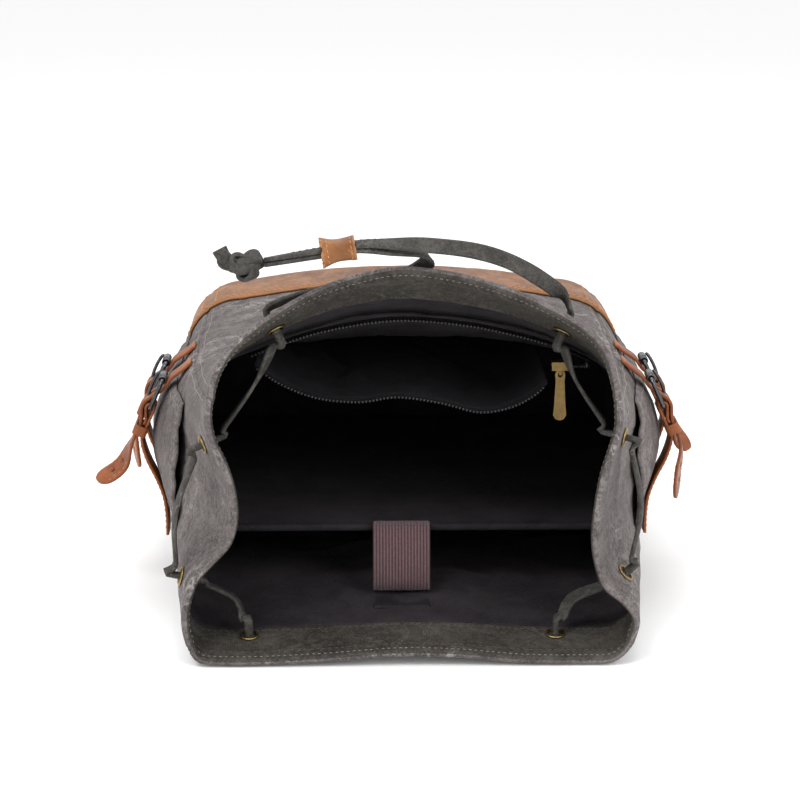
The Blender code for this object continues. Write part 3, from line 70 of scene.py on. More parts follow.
RIM_RIGHT = [
    (137, 11), (141, 29), (133, 41), (121, 51), (116, 65), (114, 81), (116, 102),
    (119, 119), (124, 135), (128, 149), (128, 169),
]
RIM_FRONT = [
    (128, 169), (122, 193), (113, 207), (90, 223), (54, 239), (23, 247), (-8, 250),
    (-38, 244), (-62, 235), (-86, 221), (-109, 203), (-120, 186), (-125, 169),
]
RIM_LEFT = [
    (-125, 169), (-126, 155), (-123, 141), (-116, 126), (-111, 109), (-110, 93), (-114, 79),
    (-124, 68), (-135, 56), (-141, 39), (-142, 25), (-139, 11),
]
PANELS = ("back", "right", "front", "left")
FINE = 120


# ---- curves and the bag's surface ---------------------------------------------------------------
def smooth_line(points, steps):
    """A smooth open curve through the points, as an array, with `steps` pieces between each two."""
    pts = np.array(points, float)
    pts = np.vstack([2 * pts[0] - pts[1], pts, 2 * pts[-1] - pts[-2]])
    made = []
    for a, b, c, d in zip(pts, pts[1:], pts[2:], pts[3:]):
        kb = max(np.linalg.norm(b - a), 1e-9) ** 0.5
        kc = kb + max(np.linalg.norm(c - b), 1e-9) ** 0.5
        kd = kc + max(np.linalg.norm(d - c), 1e-9) ** 0.5
        for k in range(steps):
            t = kb + (kc - kb) * k / steps
            ab = a + (b - a) * t / kb
            bc = b + (c - b) * (t - kb) / (kc - kb)
            cd = c + (d - c) * (t - kc) / (kd - kc)
            abc = ab + (bc - ab) * t / kc
            bcd = bc + (cd - bc) * (t - kb) / (kd - kb)
            made.append(abc + (bcd - abc) * (t - kb) / (kc - kb))
    return np.array([*made, pts[-2]])


def spaced(points, count):
    """`count` + 1 points at even distances along a line."""
    points = np.array(points, float)
    runs = np.concatenate([[0], np.cumsum(np.linalg.norm(np.diff(points, axis=0), axis=1))])
    want = np.linspace(0, runs[-1], count + 1)
    return np.stack([np.interp(want, runs, points[:, i]) for i in range(points.shape[1])], axis=1)


def line_length(points):
    return float(np.linalg.norm(np.diff(np.array(points, float), axis=0), axis=1).sum())


def rim_ring():
    sides = [spaced(smooth_line(p, 8), FINE)[:-1] for p in (RIM_BACK, RIM_RIGHT, RIM_FRONT, RIM_LEFT)]
    return np.vstack(sides) * MM


def body_ring(back_height):
    """The body's outline, a rounded rectangle with a crowned front."""
    half, r = BODY_WIDTH / 2, CORNER_RADIUS
    top, low = BODY_TOP - BODY_SHOULDER, r * 0.8

    def arc(cx, cz, radius, start, end):
        turns = np.radians(np.linspace(start, end, 9))
        return np.stack([cx + radius * np.cos(turns), cz + radius * np.sin(turns)], axis=1)

    xs = (half - r) * (1 - np.arange(1, 16) / 8)
    crown = np.stack([xs, top + BODY_SHOULDER * (1 - (xs / (half - r)) ** 2)], axis=1)
    back_z = back_height + low
    back = [arc(-half + low, back_z, low, 225, 270), arc(half - low, back_z, low, 270, 315)]
    right = [arc(half - low, back_z, low, 315, 360), arc(half - r, top - r, r, 0, 50)]
    front = [arc(half - r, top - r, r, 50, 90), crown, arc(-half + r, top - r, r, 90, 130)]
    left = [arc(-half + r, top - r, r, 130, 180), arc(-half + low, back_z, low, 180, 225)]
    return np.vstack([spaced(np.vstack(p), FINE)[:-1] for p in (back, right, front, left)])


RIM, BODY, BODY_AT_BASE = rim_ring(), body_ring(BACK_HEIGHT), body_ring(LEATHER + CLEAR)


def smoothstep(t):
    t = np.clip(t, 0.0, 1.0)
    return t * t * (3 - 2 * t)


def around(outline, ring):
    place = np.mod(ring, 4.0) * FINE
    k = np.floor(place).astype(int) % (4 * FINE)
    share = (place - np.floor(place))[..., None]
    return outline[k] * (1 - share) + outline[(k + 1) % (4 * FINE)] * share


def wall(ring, along):
    """Points of the bag's outer surface, before its creases."""
    ring, along = np.broadcast_arrays(np.asarray(ring, float), np.asarray(along, float))
    flare = np.maximum(0.0, 1 - along / FLARE_LENGTH) ** FLARE_POWER
    rest = smoothstep((along - REST_START) / REST_LENGTH)[..., None]
    body = around(BODY, ring) * (1 - rest) + around(BODY_AT_BASE, ring) * rest
    p = body * (1 - flare[..., None]) + around(RIM, ring) * flare[..., None]
    over = np.clip((along - (BAG_LENGTH - BASE_CORNER)) / BASE_CORNER, 0, 1)
    reach = BASE_CORNER * (1 - np.cos(np.arcsin(over)))
    centre = np.array([0, (BODY_TOP + BACK_HEIGHT) / 2])
    away = p - centre
    p = centre + away * (1 - reach / np.linalg.norm(away, axis=-1))[..., None]
    y = along + RIM_LEAN * p[..., 1] * flare - BAG_LENGTH / 2
    return np.stack([p[..., 0] + CENTRE_SHIFT, y, p[..., 1]], axis=-1)


def outward(ring, along):
    """Outward normals of the bag's surface."""
    d, e = 0.012, 2 * MM
    across = wall(ring + d, along) - wall(ring - d, along)
    down = wall(ring, np.minimum(along + e, BAG_LENGTH - 0.1 * MM)) - wall(ring, np.maximum(along - e, 0))
    n = np.cross(down, across)
    return n / np.maximum(np.linalg.norm(n, axis=-1, keepdims=True), 1e-12)


def noise_at(points, size, seed=0.0):
    """Smooth noise from about -1 to 1 that varies over `size`."""
    flat = points.reshape(-1, 3) / size + seed
    return np.array([noise.noise(Vector(p)) for p in flat]).reshape(points.shape[:-1]) * 1.6


def ridge_at(points, size, seed=0.0):
    """Sharp-crested noise from 0 to 1, for creases."""
    return np.clip(1 - np.abs(noise_at(points, size, seed)) * 2.2, 0, 1) ** 2


def near(value, centre, width):
    """1 at the centre, fading to 0 at `width` from it."""
    return 1 - smoothstep(np.abs(value - centre) / width)


def strap_mask(ring, along):
    """1 where the side straps hold the cloth flat."""
    held = np.maximum(near(ring, 1.6, 0.75), near(ring, 3.4, 0.75)) ** 0.5
    return held * np.minimum(1, 1.6 * np.maximum(near(along, 173 * MM, 24 * MM),
                                                 near(along, 229 * MM, 24 * MM)))


def creases(ring, along):
    """How far the cloth's folds and creases lift its surface, the same for every layer."""
    p = wall(ring, along)
    slack = smoothstep((along - 22 * MM) / (60 * MM))
    broad = noise_at(p * np.array([1, 0.7, 1]), 62 * MM, 3.1)
    mid = noise_at(p, 26 * MM, 7.7)
    sharp = ridge_at(p * np.array([1, 0.75, 1]), 34 * MM, 12.3)
    lift = (1.3 * broad + 0.6 * mid + 1.0 * sharp - 0.6) * MM
    loopswaist = near(along, 95 * MM, 70 * MM) * (near(ring, 1.5, 0.5) + near(ring, 3.5, 0.5))
    lift = lift + loopswaist * 1.6 * MM * noise_at(p * np.array([1, 0.35, 1.6]), 22 * MM, 21.5)
    low = smoothstep((p[..., 2] - 3 * MM) / (20 * MM))
    base = 1 - 0.75 * smoothstep((along - 330 * MM) / (25 * MM))
    return lift * slack * (1 - strap_mask(ring, along)) * low * base


def surface(ring, along, depth=0.0, creased=1.0):
    """Points `depth` inside the creased outer surface, or outside it where depth is negative."""
    ring, along = np.broadcast_arrays(np.asarray(ring, float), np.asarray(along, float))
    lift = creases(ring, along) * creased - depth
    p = wall(ring, along) + outward(ring, along) * np.asarray(lift)[..., None]
    p[..., 2] = np.maximum(p[..., 2], 0.2 * MM)
    return p


# ---- meshes -------------------------------------------------------------------------------------
def add_piece(name, points, faces, finish, uv=None, smooth=True, finishes=(), face_finish=None):
    made = bpy.data.meshes.new(name)
    made.from_pydata(np.asarray(points, float).reshape(-1, 3).tolist(), [], faces)
    if uv is not None:
        layer = made.uv_layers.new(name="cloth")
        index = np.zeros(len(made.loops), int)
        made.loops.foreach_get("vertex_index", index)
        layer.data.foreach_set("uv", np.asarray(uv, float).reshape(-1, 2)[index].ravel())
    shape = bmesh.new()
    shape.from_mesh(made)
    bmesh.ops.recalc_face_normals(shape, faces=shape.faces)
    if shape.calc_volume(signed=True) < 0:
        bmesh.ops.reverse_faces(shape, faces=shape.faces)
    shape.to_mesh(made)
    shape.free()
    for one in (finish, *finishes):
        made.materials.append(one)
    if face_finish is not None:
        made.polygons.foreach_set("material_index", face_finish)
    if smooth:
        made.shade_smooth()
    piece = bpy.data.objects.new(name, made)
    bpy.context.scene.collection.objects.link(piece)
    return piece


def closed_grid(grid, wrap_rows, wrap_columns):
    """Faces of a grid of points that closes on itself along its rows, its columns or both."""
    rows, columns = grid.shape[:2]
    faces = []
    for i in range(rows if wrap_rows else rows - 1):
        k = (i + 1) % rows
        for j in range(columns if wrap_columns else columns - 1):
            m = (j + 1) % columns
            faces.append((i * columns + j, i * columns + m, k * columns + m, k * columns + j))
    return faces


def tube_faces(rows, columns, offset=0):
    """Faces of a closed tube: each row is a closed section, and both ends are capped."""
    faces = []
    for i in range(rows - 1):
        for j in range(columns):
            m = (j + 1) % columns
            a, b = offset + i * columns, offset + (i + 1) * columns
            faces.append((a + j, a + m, b + m, b + j))
    faces.append(tuple(offset + j for j in range(columns - 1, -1, -1)))
    faces.append(tuple(offset + (rows - 1) * columns + j for j in range(columns)))
    return faces


def join_parts(name, parts, finish, **more):
    """One object from several (points, faces, uv) parts."""
    points, faces, uvs, base = [], [], [], 0
    for p, f, uv in parts:
        p = np.asarray(p, float).reshape(-1, 3)
        points.append(p)
        uvs.append(np.asarray(uv, float).reshape(-1, 2) if uv is not None else np.zeros((len(p), 2)))
        faces += [tuple(base + v for v in face) for face in f]
        base += len(p)
    return add_piece(name, np.vstack(points), faces, finish, uv=np.vstack(uvs), **more)


def rounded_section(width, thick, corner=0.45, steps=3):
    """A rounded rectangle's outline, (across, up), counter-clockwise."""
    r = corner * thick
    made = []
    for cx, cz, start in ((1, 1, 0), (-1, 1, 90), (-1, -1, 180), (1, -1, 270)):
        for k in range(steps + 1):
            turn = math.radians(start + 90 * k / steps)
            made.append((cx * (width / 2 - r) + r * math.cos(turn),
                         cz * (thick / 2 - r) + r * math.sin(turn)))
    return np.array(made)


def frames_along(path, up):
    """Directions across and up at each point of a path, with up as near as can be to the one given."""
    path, up = np.asarray(path, float), np.asarray(up, float)
    run = np.gradient(path, axis=0)
    run /= np.maximum(np.linalg.norm(run, axis=1, keepdims=True), 1e-12)
    up = np.broadcast_to(up, path.shape)
    across = np.cross(run, up)
    across /= np.maximum(np.linalg.norm(across, axis=1, keepdims=True), 1e-12)
    return across, np.cross(across, run)


def band(path, up, width, thick, corner=0.45):
    """(points, faces, uv) of a flat band along a path. width and thick are one number, or one a point."""
    path = np.asarray(path, float)
    across, above = frames_along(path, up)
    width = np.broadcast_to(np.asarray(width, float), len(path))
    thick = np.broadcast_to(np.asarray(thick, float), len(path))
    runs = np.concatenate([[0], np.cumsum(np.linalg.norm(np.diff(path, axis=0), axis=1))])
    points, uv = [], []
    for k in range(len(path)):
        section = rounded_section(width[k], thick[k], corner)
        points.append(path[k] + across[k] * section[:, :1] + above[k] * section[:, 1:])
        uv.append(np.stack([section[:, 0] + 0.3 * section[:, 1], np.full(len(section), runs[k])], axis=1))
    points = np.array(points)
    return points.reshape(-1, 3), tube_faces(*points.shape[:2]), np.array(uv).reshape(-1, 2)


BOLD_STITCH = (3.0 * MM, 1.7 * MM, 0.6 * MM)  # length, gap and thickness of the outer seams


def stitches(path, normals, length, gap, thick):
    """Parts for a row of stitches: short rounded threads that lie along a path."""
    path, normals = np.asarray(path, float), np.asarray(normals, float)
    normals = np.broadcast_to(normals, path.shape)
    runs = np.concatenate([[0], np.cumsum(np.linalg.norm(np.diff(path, axis=0), axis=1))])
    count = max(1, int(runs[-1] / (length + gap)))
    parts = []
    for k in range(count):
        want = (k + 0.5) * runs[-1] / count + np.linspace(-0.5, 0.5, 5) * length
        line = np.stack([np.interp(want, runs, path[:, i]) for i in range(3)], axis=1)
        way = np.stack([np.interp(want, runs, normals[:, i]) for i in range(3)], axis=1)
        way /= np.linalg.norm(way, axis=1, keepdims=True)
        arch = np.array([-0.55, 0.1, 0.25, 0.1, -0.55]) * thick
        line = line + way * arch[:, None]
        across, above = frames_along(line, way)
        girth = np.array([0.55, 0.95, 1, 0.95, 0.55]) * thick / 2
        turns = np.arange(6) * math.pi / 3
        rows = [
            line[i] + across[i] * np.cos(turns)[:, None] * girth[i]
            + above[i] * np.sin(turns)[:, None] * girth[i]
            for i in range(5)
        ]
        parts.append((np.array(rows).reshape(-1, 3), tube_faces(5, 6), None))
    return parts


def turned(profile, sides, place):
    """(points, faces, uv) of a closed profile of (radius, height) points turned round the place's Z axis."""
    turns = np.arange(sides) * 2 * math.pi / sides
    profile = np.array(profile, float)
    rows = [
        np.stack([profile[:, 0] * math.cos(t), profile[:, 0] * math.sin(t), profile[:, 1]], axis=1)
        for t in turns
    ]
    grid = np.array(rows)
    m = np.array(place)
    points = grid.reshape(-1, 3) @ m[:3, :3].T + m[:3, 3]
    return points, closed_grid(grid, True, True), None


# ---- finishes -----------------------------------------------------------------------------------
class Finish:
    """A material whose node graph is built a node at a time."""

    def __init__(self, name, roughness, metallic=0.0, **sockets):
        self.material = bpy.data.materials.new(name)
        self.material.use_nodes = True
        self.tree = self.material.node_tree
        self.shader = self.tree.nodes["Principled BSDF"]
        self.shader.inputs["Roughness"].default_value = roughness
        self.shader.inputs["Metallic"].default_value = metallic
        for socket, value in sockets.items():
            self.shader.inputs[socket.replace("_", " ")].default_value = value
        coords = self.add("ShaderNodeTexCoord")
        self.space, self.uv = coords.outputs["Object"], coords.outputs["UV"]

    def add(self, kind, **settings):
        made = self.tree.nodes.new(kind)
        for key, value in settings.items():
            setattr(made, key, value)
        return made

    def join(self, source, target):
        self.tree.links.new(source, target)

    def noise(self, scale, detail=4.0, rough=0.55, stretch=None, twist=0.0):
        made = self.add("ShaderNodeTexNoise")
        made.inputs["Scale"].default_value = scale
        made.inputs["Detail"].default_value = detail
        made.inputs["Roughness"].default_value = rough
        made.inputs["Distortion"].default_value = twist
        vector = self.space
        if stretch:
            grown = self.add("ShaderNodeMapping")
            grown.inputs["Scale"].default_value = stretch
            self.join(vector, grown.inputs["Vector"])
            vector = grown.outputs["Vector"]
        self.join(vector, made.inputs["Vector"])
        return made.outputs["Fac"]

    def cells(self, scale):
        made = self.add("ShaderNodeTexVoronoi", feature="F1")
        made.inputs["Scale"].default_value = scale
        self.join(self.space, made.inputs["Vector"])
        return made.outputs["Distance"]

    def bands(self, scale, way, source=None, twist=0.0):
        made = self.add("ShaderNodeTexWave", wave_type="BANDS", bands_direction=way)
        made.inputs["Scale"].default_value = scale
        made.inputs["Distortion"].default_value = twist
        made.inputs["Detail"].default_value = 1.0
        made.inputs["Detail Scale"].default_value = 1.5
        self.join(source or self.uv, made.inputs["Vector"])
        return made.outputs["Fac"]

    def sum(self, kind, a, b):
        made = self.add("ShaderNodeMath", operation=kind)
        for socket, value in zip(made.inputs, (a, b)):
            if isinstance(value, (int, float)):
                socket.default_value = value
            else:
                self.join(value, socket)
        return made.outputs[0]

    def ramp(self, source, stops):
        made = self.add("ShaderNodeValToRGB")
        steps = made.color_ramp
        while len(steps.elements) < len(stops):
            steps.elements.new(0.5)
        for element, (place, colour) in zip(steps.elements, stops):
            element.position = place
            element.color = (*colour, 1) if len(colour) == 3 else colour
        self.join(source, made.inputs["Fac"])
        return made.outputs["Color"]

    def grade(self, source, low, high, to_low=0.0, to_high=1.0):
        made = self.add("ShaderNodeMapRange")
        made.clamp = True
        for socket, value in zip(("From Min", "From Max", "To Min", "To Max"), (low, high, to_low, to_high)):
            made.inputs[socket].default_value = value
        self.join(source, made.inputs["Value"])
        return made.outputs["Result"]

    def mix(self, share, a, b):
        made = self.add("ShaderNodeMix", data_type="RGBA")
        for socket, value in ((made.inputs[0], share), (made.inputs[6], a), (made.inputs[7], b)):
            if isinstance(value, (int, float)):
                socket.default_value = value
            elif isinstance(value, tuple):
                socket.default_value = (*value, 1)
            else:
                self.join(value, socket)
        return made.outputs[2]

    def colour(self, source):
        self.join(source, self.shader.inputs["Base Color"])

    def rough(self, source):
        self.join(source, self.shader.inputs["Roughness"])

    def relief(self, source, depth, strength=1.0, under=None):
        made = self.add("ShaderNodeBump")
        made.inputs["Distance"].default_value = depth
        made.inputs["Strength"].default_value = strength
        self.join(source, made.inputs["Height"])
        if under is not None:
            self.join(under, made.inputs["Normal"])
        self.join(made.outputs["Normal"], self.shader.inputs["Normal"])
        return made.outputs["Normal"]


def canvas_finish(name, dark, mid, light, crease, wear=1.0):
    """Waxed canvas: a plain weave of flecked yarn under wax that has cracked pale along its creases."""
    made = Finish(name, 0.72, Specular_IOR_Level=0.22)
    blotch = made.noise(11, 5, 0.6)
    cloud = made.noise(55, 4, 0.6)
    fleck = made.noise(760, 2, 0.7)
    base = made.ramp(made.sum("ADD", made.sum("MULTIPLY", blotch, 0.5), made.sum("MULTIPLY", cloud, 0.5)),
                     [(0.32, dark), (0.5, mid), (0.7, light)])
    mottle = made.noise(240, 3, 0.75)
    speckled = made.mix(made.grade(mottle, 0.50, 0.68, 0.0, 0.55), base, light)
    speckled = made.mix(made.grade(mottle, 0.48, 0.32, 0.0, 0.6), speckled, dark)
    speckled = made.mix(made.grade(fleck, 0.52, 0.70, 0.0, 0.6), speckled, light)
    speckled = made.mix(made.grade(fleck, 0.47, 0.30, 0.0, 0.65), speckled, dark)
    fold = made.noise(24, 6, 0.62, twist=1.2)
    line = made.grade(made.sum("ABSOLUTE", made.sum("SUBTRACT", fold, 0.5), 0), 0.022, 0.0)
    fine = made.noise(70, 5, 0.6, twist=1.6)
    fine_line = made.grade(made.sum("ABSOLUTE", made.sum("SUBTRACT", fine, 0.5), 0), 0.02, 0.0)
    patchy = made.grade(made.noise(16, 3, 0.5), 0.42, 0.62)
    cracks = made.sum("MULTIPLY", made.sum("MAXIMUM", line, made.sum("MULTIPLY", fine_line, 0.6)), patchy)
    worn = made.sum("MULTIPLY", cracks, 0.75 * wear)
    made.colour(made.mix(worn, speckled, crease))
    made.rough(made.grade(blotch, 0.35, 0.7, 0.62, 0.82))
    weave = made.sum("ADD", made.bands(262, "X", twist=0.4), made.bands(262, "Y", twist=0.4))
    height = made.sum("ADD", made.sum("MULTIPLY", weave, 0.35), made.sum("MULTIPLY", fleck, 0.9))
    first = made.relief(height, 0.00022, 0.9)
    made.relief(made.sum("ADD", made.sum("MULTIPLY", fold, 1.0), made.sum("MULTIPLY", cracks, 0.12)), 0.004,
                0.5,
                under=first)
    return made.material


def leather_finish(name, dark, mid, light, worn, wear=1.0):
    """Waxed leather that pales where it bends, with a fine pebbled grain and scuffs."""
    made = Finish(name, 0.5, Specular_IOR_Level=0.32, Coat_Weight=0.03, Coat_Roughness=0.35)
    blotch = made.noise(14, 5, 0.6)
    cloud = made.noise(70, 5, 0.62)
    shade = made.sum("ADD", made.sum("MULTIPLY", blotch, 0.6), made.sum("MULTIPLY", cloud, 0.4))
    base = made.ramp(shade, [(0.33, dark), (0.5, mid), (0.66, light)])
    scuff = made.noise(120, 5, 0.7, stretch=(1, 0.35, 1), twist=0.8)
    marks = made.grade(scuff, 0.6, 0.74, 0.0, 0.55 * wear)
    geometry = made.add("ShaderNodeNewGeometry")
    edge = made.grade(geometry.outputs["Pointiness"], 0.52, 0.6, 0.0, 0.75 * wear)
    base = made.mix(marks, base, worn)
    made.colour(made.mix(edge, base, worn))
    made.rough(made.grade(scuff, 0.35, 0.75, 0.36, 0.62))
    grain = made.cells(900)
    fine = made.noise(1500, 2, 0.6)
    height = made.sum("ADD", made.sum("MULTIPLY", grain, 0.7), made.sum("MULTIPLY", fine, 0.5))
    first = made.relief(height, 0.00018, 0.8)
    made.relief(made.noise(90, 4, 0.6), 0.0012, 0.35, under=first)
    return made.material


def twill_finish(name, dark, light, sheen):
    """A thin twill lining: fine slanting ribs and a soft sheen."""
    made = Finish(name, 0.68, Specular_IOR_Level=0.12, Sheen_Weight=sheen, Sheen_Roughness=0.5)
    slant = made.add("ShaderNodeMapping")
    slant.inputs["Rotation"].default_value = (0, 0, math.radians(63))
    made.join(made.uv, slant.inputs["Vector"])
    ribs = made.bands(330, "X", source=slant.outputs["Vector"], twist=0.3)
    cloud = made.noise(40, 4, 0.6)
    fleck = made.noise(900, 2, 0.7)
    tone = made.sum("ADD", made.sum("MULTIPLY", cloud, 0.5), made.sum("MULTIPLY", fleck, 0.5))
    made.colour(made.ramp(tone, [(0.35, dark), (0.65, light)]))
    first = made.relief(made.sum("ADD", ribs, made.sum("MULTIPLY", fleck, 0.6)), 0.00012, 0.7)
    made.relief(made.noise(38, 5, 0.6, twist=0.6), 0.0035, 0.45, under=first)
    return made.material


def metal_finish(name, dark, light, roughness):
    """Plated metal with tarnish in its hollows and small scratches."""
    made = Finish(name, roughness, metallic=1.0)
    tarnish = made.noise(210, 5, 0.65)
    base = made.ramp(tarnish, [(0.36, dark), (0.62, light)])
    geometry = made.add("ShaderNodeNewGeometry")
    bright = made.grade(geometry.outputs["Pointiness"], 0.5, 0.58, 0.0, 0.7)
    made.colour(made.mix(bright, base, light))
    scratches = made.noise(1600, 3, 0.7, stretch=(1, 1, 0.12))
    made.rough(made.grade(scratches, 0.3, 0.7, roughness * 0.75, roughness * 1.5))
    made.relief(scratches, 0.00006, 0.5)
    return made.material


def thread_finish(name, colour, dark):
    made = Finish(name, 0.6, Specular_IOR_Level=0.25, Sheen_Weight=0.2)
    ply = made.noise(1800, 2, 0.6)
    made.colour(made.ramp(ply, [(0.35, dark), (0.6, colour)]))
    made.relief(ply, 0.0001, 0.8)
    return made.material


def elastic_finish(name):
    """Ribbed elastic web with a fuzzy cover."""
    made = Finish(name, 0.8, Specular_IOR_Level=0.2, Sheen_Weight=0.2, Sheen_Roughness=0.6)
    ribs = made.bands(155, "X")
    picks = made.bands(420, "Y")
    fleck = made.noise(1100, 2, 0.7)
    tone = made.sum("ADD", made.sum("MULTIPLY", ribs, 0.45), made.sum("MULTIPLY", fleck, 0.55))
    made.colour(made.ramp(tone, [(0.25, (0.035, 0.016, 0.019)), (0.55, (0.105, 0.055, 0.062)),
                                 (0.8, (0.17, 0.10, 0.108))]))
    height = made.sum("ADD", made.sum("MULTIPLY", ribs, 1.0), made.sum("MULTIPLY", picks, 0.3))
    made.relief(height, 0.0006, 0.9)
    return made.material


canvas = canvas_finish("waxed_canvas", (0.036, 0.030, 0.030), (0.092, 0.079, 0.077), (0.190, 0.166, 0.162),
                       (0.36, 0.332, 0.322))
# a darker copy of the canvas for the cloth's inner faces and the facing: partly the cloth's duller back,
# partly painted shade of the bag's inside
canvas_inside_shaded = canvas_finish("waxed_canvas_inside_shaded", (0.020, 0.018, 0.015), (0.046, 0.041, 0.035),
                              (0.088, 0.080, 0.069), (0.17, 0.158, 0.138), 0.5)
cord_cloth = canvas_finish("waxed_strip", (0.018, 0.017, 0.015), (0.040, 0.037, 0.033), (0.078, 0.073, 0.066),
                           (0.20, 0.185, 0.165), 0.8)
leather = leather_finish("tan_leather", (0.050, 0.019, 0.006), (0.155, 0.058, 0.016), (0.27, 0.108, 0.032),
                         (0.42, 0.20, 0.078))
strap_leather = leather_finish("strap_leather", (0.070, 0.017, 0.005), (0.195, 0.050, 0.012),
                               (0.31, 0.090, 0.022),
                               (0.45, 0.17, 0.052), 0.6)
twill = twill_finish("lining_twill", (0.010, 0.008, 0.010), (0.034, 0.028, 0.032), 0.03)
# a darker copy of the lining twill: the dark cloth of the hook patch, piping and zip tapes, and painted shade
# on the zip pocket and tapes that lie under the front panel
twill_dark_and_shaded = twill_finish("pocket_twill_dark_and_shaded", (0.007, 0.006, 0.008), (0.022, 0.019, 0.023), 0.02)
brass = metal_finish("antique_brass", (0.09, 0.058, 0.022), (0.36, 0.265, 0.115), 0.38)
gunmetal = metal_finish("gunmetal", (0.025, 0.025, 0.027), (0.11, 0.11, 0.118), 0.26)
old_brass = metal_finish("old_brass", (0.045, 0.028, 0.011), (0.20, 0.135, 0.055), 0.36)
black_zip = metal_finish("blackened_teeth", (0.012, 0.012, 0.013), (0.055, 0.054, 0.055), 0.4)
elastic = elastic_finish("elastic_web")
pale_thread = thread_finish("pale_thread", (0.30, 0.265, 0.22), (0.12, 0.10, 0.082))
dark_thread = thread_finish("dark_thread", (0.075, 0.068, 0.058), (0.025, 0.022, 0.019))
tan_thread = thread_finish("tan_thread", (0.62, 0.25, 0.07), (0.30, 0.10, 0.03))
board = canvas_finish("board", (0.16, 0.12, 0.09), (0.22, 0.17, 0.12), (0.3, 0.24, 0.18), (0.35, 0.3, 0.25),
                      0.2)

# ---- camera, light and floor --------------------------------------------------------------------
camera_data = bpy.data.cameras.new("camera")
camera = bpy.data.objects.new("camera", camera_data)
bpy.context.scene.collection.objects.link(camera)
camera_data.sensor_width = 36
camera_data.lens = 117
camera_data.clip_start, camera_data.clip_end = 0.1, 20
camera.location = (-0.028, -1.7523, 0.524)
aim = Vector((-0.0024, -0.219, 0.170)) - camera.location
camera.rotation_mode = "QUATERNION"
camera.rotation_quaternion = aim.to_track_quat("-Z", "Y")
bpy.context.scene.camera = camera

world = bpy.data.worlds.new("studio")
world.use_nodes = True
world.node_tree.nodes["Background"].inputs["Color"].default_value = (1, 1, 1, 1)
world.node_tree.nodes["Background"].inputs["Strength"].default_value = 0.95
bpy.context.scene.world = world
bpy.context.scene.view_settings.view_transform = "Standard"


def soft_light(name, place, target, size, watts):
    data = bpy.data.lights.new(name, "AREA")
    data.shape = "DISK"
    data.size = size
    data.energy = watts
    lamp = bpy.data.objects.new(name, data)
    bpy.context.scene.collection.objects.link(lamp)
    lamp.location = place
    lamp.rotation_mode = "QUATERNION"
    lamp.rotation_quaternion = (Vector(target) - Vector(place)).to_track_quat("-Z", "Y")


soft_light("key", (-0.9, -1.3, 1.9), (0, -0.1, 0.1), 1.2, 26)
soft_light("fill", (1.1, -1.5, 1.0), (0, -0.1, 0.1), 1.2, 13)
soft_light("top", (0.1, 0.4, 2.0), (0, 0, 0.1), 1.4, 16)

floor_look = Finish("floor", 0.9)
floor_look.shader.inputs["Base Color"].default_value = (0.93, 0.93, 0.93, 1)
floor_look.shader.inputs["Emission Color"].default_value = (1, 1, 1, 1)
floor_look.shader.inputs["Emission Strength"].default_value = 0.05
floor = bpy.data.objects.new("floor", bpy.data.meshes.new("floor"))
floor.data.from_pydata([(-6, -6, 0), (6, -6, 0), (6, 6, 0), (-6, 6, 0)], [], [(0, 1, 2, 3)])
floor.data.materials.append(floor_look.material)
bpy.context.scene.collection.objects.link(floor)


# ---- eyelets ------------------------------------------------------------------------------------
EYELETS = [(2, 0.79), (3, 0.215), (3, 0.79), (0, 0.15), (0, 0.82), (1, 0.24), (1, 0.81), (2, 0.19)]


def eyelet_place(index):
    ring = float(sum(EYELETS[index]))
    return wall(ring, EYELET_DEPTH), outward(ring, EYELET_DEPTH)


def build_eyelets():
    """Brass rings, rolled over on both faces of the cloth."""
    top, low = 1.6 * MM, -(CANVAS + CLEAR + FACING + 1.6 * MM)
    bore, barrel, rim = 4.4 * MM, 5.1 * MM, 6.3 * MM
    profile = [
        (bore, 0.4 * MM), (bore + 0.1 * MM, 1.0 * MM), (bore + 0.5 * MM, top), (5.3 * MM, top + 0.15 * MM),
        (rim - 0.3 * MM, top - 0.35 * MM), (rim, 0.75 * MM), (rim - 0.2 * MM, 0.5 * MM), (barrel, 0.55 * MM),
        (barrel, low + 1.0 * MM), (rim - 0.2 * MM, low + 1.0 * MM), (rim, low + 0.75 * MM),
        (rim - 0.3 * MM, low + 0.3 * MM), (5.3 * MM, low), (bore + 0.5 * MM, low + 0.1 * MM),
        (bore + 0.1 * MM, low + 0.5 * MM), (bore, low + 1.0 * MM),
    ]
    for index in range(8):
        place, way = eyelet_place(index)
        matrix = Matrix.Translation(Vector(place)) @ Vector(way).to_track_quat("Z", "Y").to_matrix().to_4x4()
        points, faces, _ = turned(profile, 36, matrix)
        ring = add_piece(f"eyelet_ring_{index + 1}", points, faces, brass)
        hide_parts(f"eyelet_{index + 1}")
        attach(ring, "root")


# ---- drawstring ---------------------------------------------------------------------------------
STRIP_WIDE, STRIP_THICK = 10.0 * MM, 2.6 * MM
TOGGLE_AT = np.array([-44, -219, 262]) * MM
TOGGLE_RUN = np.array([-1, -0.03, -0.16]) / np.linalg.norm([-1, -0.03, -0.16])
KNOT_RUN, TOGGLE_LONG = 45 * MM, 20 * MM
SHIFT = np.array([CENTRE_SHIFT, 0, 0])
STRETCH_BOW = [(6, 8, 2), (-7, -5, 0), (8, 5, 3), (0, 0, 0.2), (-8, 5, 3), (7, -5, 0), (-6, 8, 2)]


def toggle_point(run, index):
    """A point of one end beside the toggle: the two strips lie one on the other there."""
    side = np.array([0, 0, 1.5 * MM if index else -1.5 * MM])
    return TOGGLE_AT + SHIFT + TOGGLE_RUN * run + side


